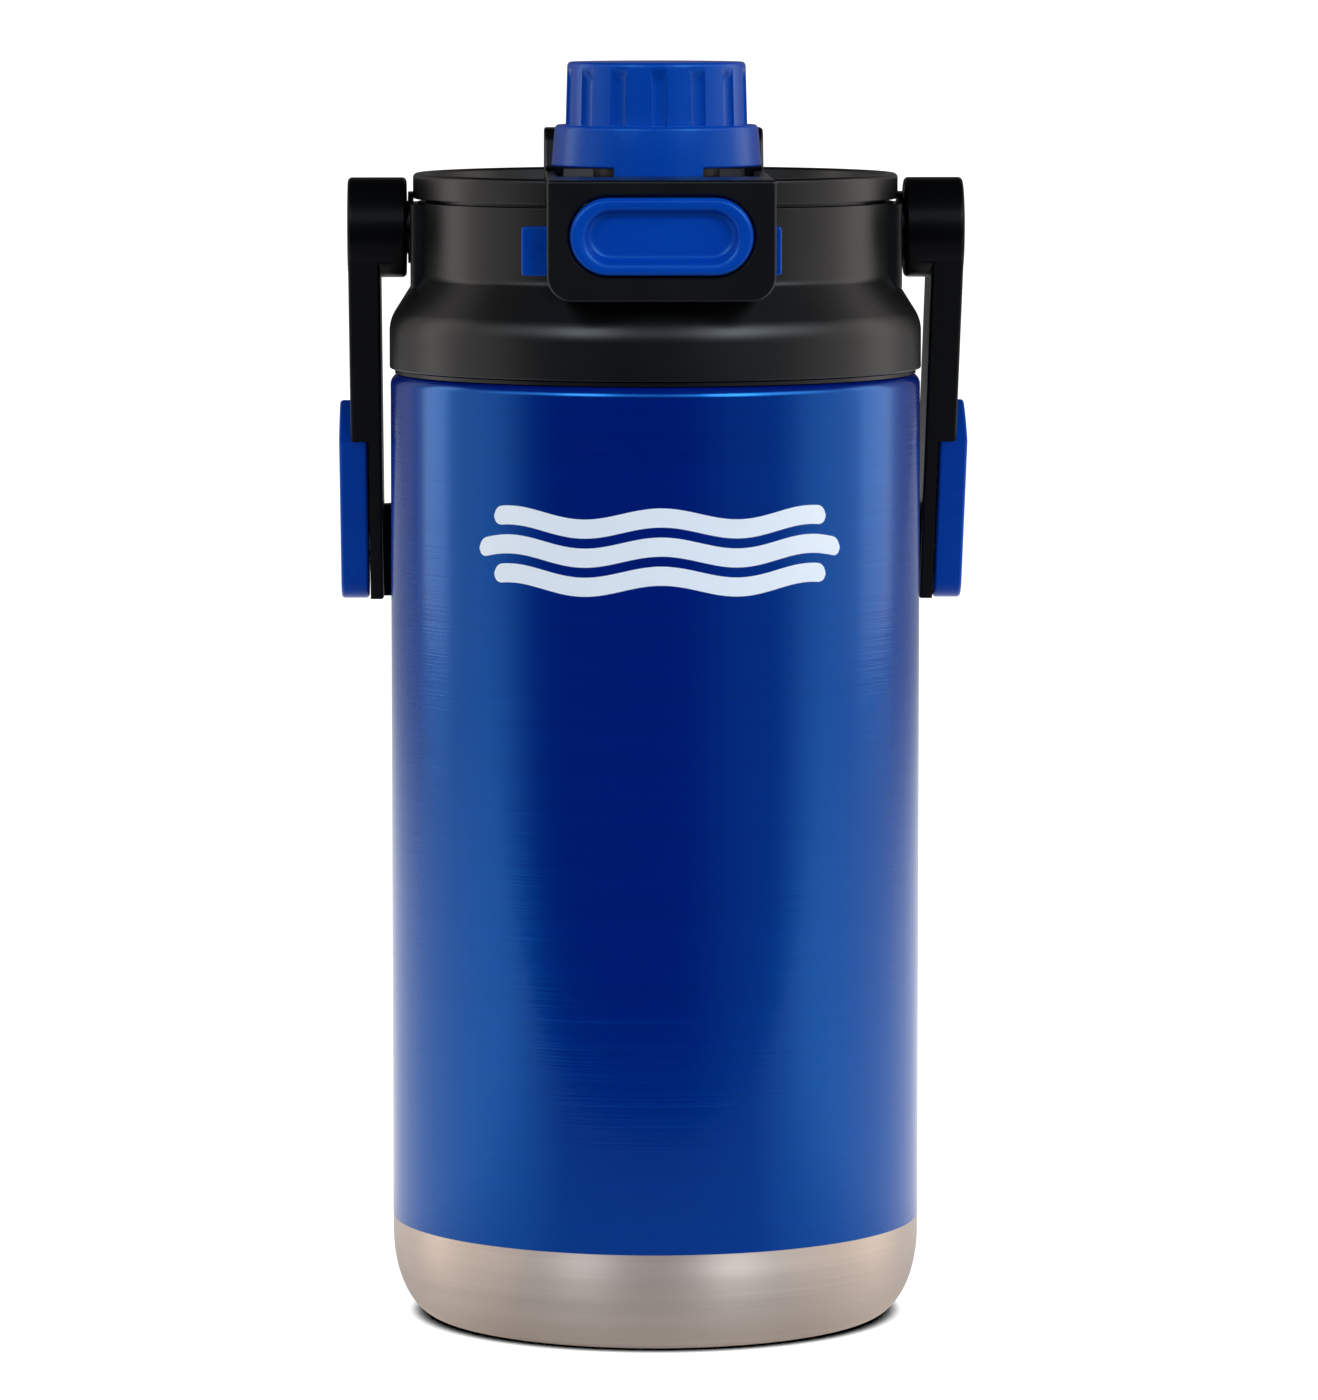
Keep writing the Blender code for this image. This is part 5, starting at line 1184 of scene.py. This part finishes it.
def arm_outline():
    """Straight leaning edges from a hollow end inside the pivot boss down to a level bottom."""
    lean = math.radians(ARM_LEAN_DEGREES)
    front_along = (PIVOT_Z - ARM_HALF_WIDTH * math.sin(lean) - GRIP_BOTTOM_Z) / math.cos(lean)
    rear_along = (GRIP_END_Y - ARM_HALF_WIDTH * math.cos(lean)) / math.sin(lean)
    outline = [arm_point(0, ARM_HALF_WIDTH)]
    for step in range(2 * ARC_STEPS + 1):
        angle = math.radians(180 * step / (2 * ARC_STEPS))
        outline.append(arm_point(ARM_ROOT_RADIUS * math.sin(angle), ARM_ROOT_RADIUS * math.cos(angle)))
    outline.append(arm_point(0, -ARM_HALF_WIDTH))
    outline.append(arm_point(front_along, -ARM_HALF_WIDTH))
    outline.append(Vector((GRIP_END_Y, GRIP_BOTTOM_Z)))
    outline.append(arm_point(rear_along, ARM_HALF_WIDTH))
    return outline


def hook_point(up, across):
    """Point (y, z) measured from the hook's pin up the arm and towards its rear edge."""
    return arm_point(HOOK_PIN_ALONG - up, HOOK_PIN_ACROSS + across)


def arc_about_pin(radius, first, last, steps):
    """Arc about the hook's pin, with angles measured from the line that runs up the arm."""
    points = []
    for step in range(steps + 1):
        angle = first + (last - first) * step / steps
        points.append(hook_point(radius * math.cos(angle), radius * math.sin(angle)))
    return points


def make_boss(side):
    return turned_on_side("boss", "black_plastic", side, (PIVOT_Y, PIVOT_Z), [
        (BOSS_BORE_RADIUS, BOSS_INNER_X, 0),
        (BOSS_RADIUS, BOSS_INNER_X, BOSS_EDGE),
        (BOSS_RADIUS, BOSS_OUTER_X, BOSS_EDGE),
        (BOSS_COUNTERBORE_RADIUS, BOSS_OUTER_X, BOSS_EDGE / 4),
        (BOSS_COUNTERBORE_RADIUS, BOSS_COUNTERBORE_X, 0),
        (BOSS_BORE_RADIUS, BOSS_COUNTERBORE_X, 0),
    ], 2 * SMALL_SEGMENTS)


def make_recess(side):
    """Outer side of the arm, cut away for the hook to lie in and swing out of."""
    top = HOOK_LENGTH + RECESS_CLEARANCE
    rear = HOOK_HALF_WIDTH + RECESS_CLEARANCE
    outline = [hook_point(-RECESS_BELOW, -RECESS_FRONT), hook_point(-RECESS_BELOW, rear)]
    outline += arc_about_pin(top, math.asin(rear / top), -math.asin(RECESS_FRONT / top), ARC_STEPS)
    return prism("recess", outline, "X", side * RECESS_FLOOR_X, side * (ARM_OUTER_X + CUT))


def make_pin_hole(side, radius, near_x, far_x):
    pin_y, pin_z = hook_point(0, 0)
    return prism("hole", circle(pin_y, pin_z, radius), "X", side * near_x, side * far_x)


def grip_rings():
    """Cross-sections of the grip band, which curves round behind the body from one arm to the other."""
    lines = []
    for half_width, start, depth in (GRIP_OUTER, GRIP_INNER):
        first = math.degrees(math.asin((GRIP_START_Y - start) / depth))
        lines.append(arc((0, start), (half_width, depth), first, 180 - first, GRIP_STEPS))
    rings = []
    for outer, inner in zip(*lines):
        across = outer - inner
        section = rectangle(0, GRIP_BOTTOM_Z, across.length, GRIP_TOP_Z, GRIP_EDGE)
        way = across.normalized()
        rings.append([place("Z", *(inner + way * reach), height) for reach, height in section])
    return rings


def make_handle():
    handle = lofted("bail_handle", grip_rings(), "handle_plastic")
    joined = []
    cut = []
    for side in (-1, 1):
        near = side * ARM_INNER_X
        far = side * ARM_OUTER_X
        joined.append(prism("arm", arm_outline(), "X", near, far, "black_plastic", ARM_EDGE, ARM_EDGE))
        joined.append(make_boss(side))
        cut += [make_recess(side), make_pin_hole(side, HOOK_PIN_HOLE, ARM_INNER_X - CUT, ARM_OUTER_X + CUT)]
    settle(carve(handle, joined, cut), "handle", "black_plastic", "handle")


def make_pivot_cover(side):
    """Flush disc over the pivot screw, with a shallow ring in its face."""
    name = side_name(side)
    cover = turned_on_side("pivot_disc_" + name, "handle_plastic", side, (PIVOT_Y, PIVOT_Z), [
        (0, COVER_NEAR_X, 0),
        (COVER_RADIUS, COVER_NEAR_X, 0),
        (COVER_RADIUS, COVER_FAR_X, 0.0003),
        (COVER_RING_RADIUS + COVER_RING_HALF_WIDTH, COVER_FAR_X, 0.0001),
        (COVER_RING_RADIUS, COVER_FAR_X - GAP, 0.0001),
        (COVER_RING_RADIUS - COVER_RING_HALF_WIDTH, COVER_FAR_X, 0.0001),
        (0, COVER_FAR_X, 0),
    ])
    settle(cover, "handle", "black_plastic", "pivot_cover_" + name)


def make_rivet(side):
    """Domed rivet that the hook turns on."""
    name = side_name(side)
    rivet = turned_on_side("hook_rivet_" + name, "spring_steel", side, hook_point(0, 0), [
        (0, HOOK_PIN_INNER_X, 0),
        (HOOK_PIN_RADIUS, HOOK_PIN_INNER_X, 0.0004),
        (HOOK_PIN_RADIUS, HOOK_PIN_HEAD_X, 0),
        (HOOK_PIN_HEAD_RADIUS, HOOK_PIN_HEAD_X, 0.0001),
        (HOOK_PIN_HEAD_RADIUS, HOOK_PIN_HEAD_END_X, 0.0006),
        (0, HOOK_PIN_HEAD_END_X, 0),
    ])
    settle(rivet, "handle", "spring_steel", "hook_pin_" + name)


def make_hook(side):
    """Fence hook: a thick flat plate, half round about its pin at the bottom."""
    right_angle = math.radians(90)
    spread = math.asin(HOOK_HALF_WIDTH / HOOK_LENGTH)
    outline = arc_about_pin(HOOK_HALF_WIDTH, right_angle, 3 * right_angle, 3 * ARC_STEPS)
    outline += arc_about_pin(HOOK_LENGTH, -spread, spread, ARC_STEPS)
    near = side * HOOK_INNER_X
    far = side * HOOK_OUTER_X
    name = side_name(side)
    hook = prism("fence_hook_" + name, outline, "X", near, far, "hook_plastic", HOOK_EDGE, HOOK_EDGE)
    carve(hook, cut=[
        make_pin_hole(side, HOOK_PIN_HOLE, HOOK_INNER_X - CUT, HOOK_OUTER_X + CUT),
        make_pin_hole(side, HOOK_PIN_SEAT_RADIUS, HOOK_PIN_SEAT_X, HOOK_OUTER_X + CUT),
    ])
    settle(hook, "hook_" + name, "blue_plastic", "hook_" + name)


# ---------------------------------------------------------------- what stays of the CAD

KEPT = {
    "spring_steel": (
        "vacuum_seal", "liner_screw_1", "liner_screw_2", "liner_screw_3", "liner_screw_4",
        "pivot_washer_left", "pivot_washer_right", "pivot_screw_left", "pivot_screw_right",
    ),
    "clear_seal": ("lid_gasket", "spout_ring", "cap_seal"),
    "black_plastic": ("lid_liner",),
    "white_foam": ("lid_insulation",),
}


def dress_kept_nodes():
    for look, names in KEPT.items():
        for name in names:
            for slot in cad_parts[name].material_slots:
                slot.material = LOOKS[look]


# ---------------------------------------------------------------- stage, light and camera

CAMERA_PLACE = Vector((-0.0369, -1.6896, 0.3084))
CAMERA_AIM = Vector((0.00084, 0.0, 0.0))
CAMERA_PITCH_DEGREES = 5.685
CAMERA_LENS = 191.8
TABLE_FRONT_Y = -0.37
TABLE_HALF_WIDTH = 1.6
WARM = (1.06, 0.99, 0.95)
COOL = (0.84, 0.94, 1.06)
SIDE_LIGHT = (  # degrees from the front, positive to the right, and brightness there
    (-180, 0.12), (-152, 0.15), (-136, 0.40), (-129, 0.25), (-124, 0.40), (-119, 1.90), (-106, 1.90),
    (-100, 0.80), (-83, 0.85), (-72, 0.75), (-62, 0.36), (-54, 0.10), (-46, 0.03), (0, 0.02),
    (14, 0.03), (22, 0.10), (36, 0.22), (52, 0.22), (60, 0.42), (67, 0.72), (78, 0.90), (89, 0.95),
    (97, 1.05), (101, 1.80), (119, 1.80), (126, 0.60), (134, 0.30), (146, 0.18), (180, 0.16),
)
SIDE_LIGHT_TOP = 2.2
SIDE_HEIGHT = ((-1.0, 0.0), (-0.5, 0.3), (-0.3, 1.0), (0.44, 1.0), (0.60, 0.05), (1.0, 0.03))
FILL_LIGHT = 7.8
FILL_AROUND = (
    (-180, 0.0), (-90, 0.0), (-60, 0.20), (-48, 0.30), (-42, 0.80), (-27, 0.80), (-20, 0.22), (0, 0.14),
    (20, 0.26), (27, 1.0), (42, 1.0), (48, 0.50), (60, 0.36), (90, 0.0), (180, 0.0),
)
FILL_HEIGHT = ((-1.0, 0.0), (0.24, 0.0), (0.34, 1.0), (0.57, 1.0), (0.66, 0.02), (1.0, 0.01))
BACKGROUND = 1.2
# Reach and range of the painted contact shadow on the floor
CONTACT_SHADOW_REACH = 0.005
CONTACT_SHADOW_RANGE = (0.25, 0.60)
FLOOR_HALF_SIZE = 80
TABLE_REAR_Y = 3
WARM_FROM_DEGREES = 58
TABLE_GLOW = 0.15
TABLE_SIDE_REACH = 2.0
TABLE_SIDE_LEAN = 0.8
TABLE_SIDE_GLOW = (
    (0.0, 0.0), (0.02, 0.32), (0.06, 0.60), (0.125, 1.30), (0.30, 1.20), (0.50, 1.00), (0.80, 0.30),
    (1.0, 0.0),
)


def ramp(tree, source, stops):
    """Colour ramp over stops of (place from 0 to 1, colour)."""
    node = add(tree, "ValToRGB", {"Fac": source})
    elements = node.color_ramp.elements
    while len(elements) < len(stops):
        elements.new(0.5)
    for element, (position, colour) in zip(elements, stops):
        element.position = position
        element.color = (*colour, 1.0)
    return node.outputs["Color"]


def grey_ramp(tree, source, stops, reach=1.0):
    """Grey ramp over stops of (place from -reach to reach, value)."""
    return ramp(tree, source, [((1 + spot / reach) / 2, (value,) * 3) for spot, value in stops])


def make_light():
    """Studio light all round as a function of direction: two tall soft panels and a high front fill."""
    world = bpy.data.worlds.new("studio")
    bpy.context.scene.world = world
    world.use_nodes = True
    tree = world.node_tree
    tree.nodes.clear()
    direction = add(tree, "TexCoord", {}).outputs["Generated"]
    parts = add(tree, "SeparateXYZ", {"Vector": direction})
    forward = calculate(tree, "MULTIPLY", parts.outputs["Y"], -1.0)
    azimuth = calculate(tree, "ARCTAN2", parts.outputs["X"], forward)
    around = span(tree, azimuth, 0.0, 1.0, -math.pi, math.pi)
    height = span(tree, parts.outputs["Z"], 0.0, 1.0, -1.0, 1.0)
    stops = []
    for degrees, value in SIDE_LIGHT:
        tint = WARM if abs(degrees) > WARM_FROM_DEGREES else COOL
        stops.append(((degrees + 180) / 360, tuple(value * part / SIDE_LIGHT_TOP for part in tint)))
    side = ramp(tree, around, stops)
    side_height = grey_ramp(tree, height, SIDE_HEIGHT)
    fill_height = grey_ramp(tree, height, FILL_HEIGHT)
    side_part = calculate_colour(tree, "MULTIPLY", side, side_height)
    side_part = add(tree, "VectorMath", {0: side_part, "Scale": SIDE_LIGHT_TOP}, operation="SCALE").outputs[0]
    fill_around = grey_ramp(tree, around, FILL_AROUND, 180)
    fill = calculate_colour(tree, "MULTIPLY", fill_height, fill_around)
    fill = calculate_colour(tree, "MULTIPLY", fill, [FILL_LIGHT * part for part in COOL])
    total = calculate_colour(tree, "ADD", side_part, fill)
    seen = add(tree, "LightPath", {}).outputs["Is Camera Ray"]
    lit = add(tree, "Background", {"Color": total, "Strength": 1.0}).outputs[0]
    plain = add(tree, "Background", {"Color": (1.0, 1.0, 1.0, 1.0), "Strength": BACKGROUND}).outputs[0]
    mixed = add(tree, "MixShader", {0: seen, 1: lit, 2: plain}).outputs[0]
    add(tree, "OutputWorld", {"Surface": mixed})


def flat_sheet(name, low_x, low_y, high_x, high_y, height):
    shape = bmesh.new()
    corners = ((low_x, low_y), (high_x, low_y), (high_x, high_y), (low_x, high_y))
    shape.faces.new([shape.verts.new((x, y, height)) for x, y in corners])
    mesh = bpy.data.meshes.new(name)
    shape.to_mesh(mesh)
    shape.free()
    sheet = bpy.data.objects.new(name, mesh)
    bpy.context.scene.collection.objects.link(sheet)
    return sheet


def stage_material(name, build):
    """Surface of a stage sheet, which can't be seen from below."""
    made = bpy.data.materials.new(name)
    made.use_nodes = True
    tree = made.node_tree
    tree.nodes.clear()
    clear = add(tree, "BsdfTransparent", {}).outputs[0]
    behind = add(tree, "NewGeometry", {}).outputs["Backfacing"]
    shown = add(tree, "MixShader", {0: behind, 1: build(tree), 2: clear}).outputs[0]
    add(tree, "OutputMaterial", {"Surface": shown})
    return made


def floor_surface(tree):
    """White glowing sheet, darkened where the jug stands on it by an ambient-occlusion mask: a painted
    contact shadow.
    """
    # painted contact shadow: ambient occlusion lowers the floor's glow next to the jug
    open_part = add(tree, "AmbientOcclusion", {"Distance": CONTACT_SHADOW_REACH}, samples=8).outputs["AO"]
    tone = span(tree, open_part, 0.0, BACKGROUND, *CONTACT_SHADOW_RANGE)
    return add(tree, "Emission", {"Color": (1.0, 1.0, 1.0, 1.0), "Strength": tone}).outputs[0]


def table_surface(tree):
    mottle = noise(tree, (9.0, 9.0, 9.0), 3.0)
    tone = blend_colours(tree, mottle, (0.56, 0.55, 0.54), (0.60, 0.59, 0.58))
    matt = add(tree, "BsdfDiffuse", {"Color": tone}).outputs[0]
    scale = (1 / TABLE_SIDE_REACH, TABLE_SIDE_LEAN / TABLE_SIDE_REACH, 1.0)
    parts = add(tree, "SeparateXYZ", {"Vector": stretched(tree, scale)})
    sideways = calculate(tree, "ABSOLUTE", parts.outputs["X"])
    reach = calculate(tree, "ADD", sideways, parts.outputs["Y"])
    rise = ramp(tree, reach, [(position, (value,) * 3) for position, value in TABLE_SIDE_GLOW])
    glow = calculate(tree, "ADD", rise, TABLE_GLOW)
    light = add(tree, "Emission", {"Color": tone, "Strength": glow}).outputs[0]
    return add(tree, "AddShader", {0: matt, 1: light}).outputs[0]


def make_stage():
    """Bright floor for the camera, and under it the table top that the jug mirrors and is lit by."""
    floor = flat_sheet("floor", -FLOOR_HALF_SIZE, -FLOOR_HALF_SIZE, FLOOR_HALF_SIZE, FLOOR_HALF_SIZE, 0.0)
    floor.data.materials.append(stage_material("white_floor", floor_surface))
    floor.visible_glossy = False
    floor.visible_diffuse = False
    floor.visible_transmission = False
    floor.visible_shadow = False
    table = flat_sheet("table_top", -TABLE_HALF_WIDTH, TABLE_FRONT_Y, TABLE_HALF_WIDTH, TABLE_REAR_Y, -GAP)
    table.data.materials.append(stage_material("table_paper", table_surface))
    table.visible_camera = False
    table.visible_shadow = False


def make_camera():
    data = bpy.data.cameras.new("camera")
    data.lens = CAMERA_LENS
    data.clip_start = 0.1
    data.clip_end = 300
    camera = bpy.data.objects.new("camera", data)
    bpy.context.scene.collection.objects.link(camera)
    level = CAMERA_AIM - CAMERA_PLACE
    level.z = 0
    level.normalize()
    pitch = math.radians(CAMERA_PITCH_DEGREES)
    forward = level * math.cos(pitch) - Vector((0, 0, math.sin(pitch)))
    camera.location = CAMERA_PLACE
    camera.rotation_mode = "QUATERNION"
    camera.rotation_quaternion = forward.to_track_quat("-Z", "Y")
    bpy.context.scene.camera = camera
    bpy.context.scene.view_settings.view_transform = "Standard"


# ---------------------------------------------------------------- assembly

make_camera()
make_light()
make_stage()
make_paint()
make_neck()
make_gap_shade_ring()
make_base()
make_vessel()
make_emblem()
make_collar()
make_cover()
make_spout()
make_cap()
make_pin()
make_cap_coil()
make_housing()
make_button()
make_button_coil()
make_lock()
make_handle()
for each_side in (-1, 1):
    make_pivot_cover(each_side)
    make_rivet(each_side)
    make_hook(each_side)
dress_kept_nodes()
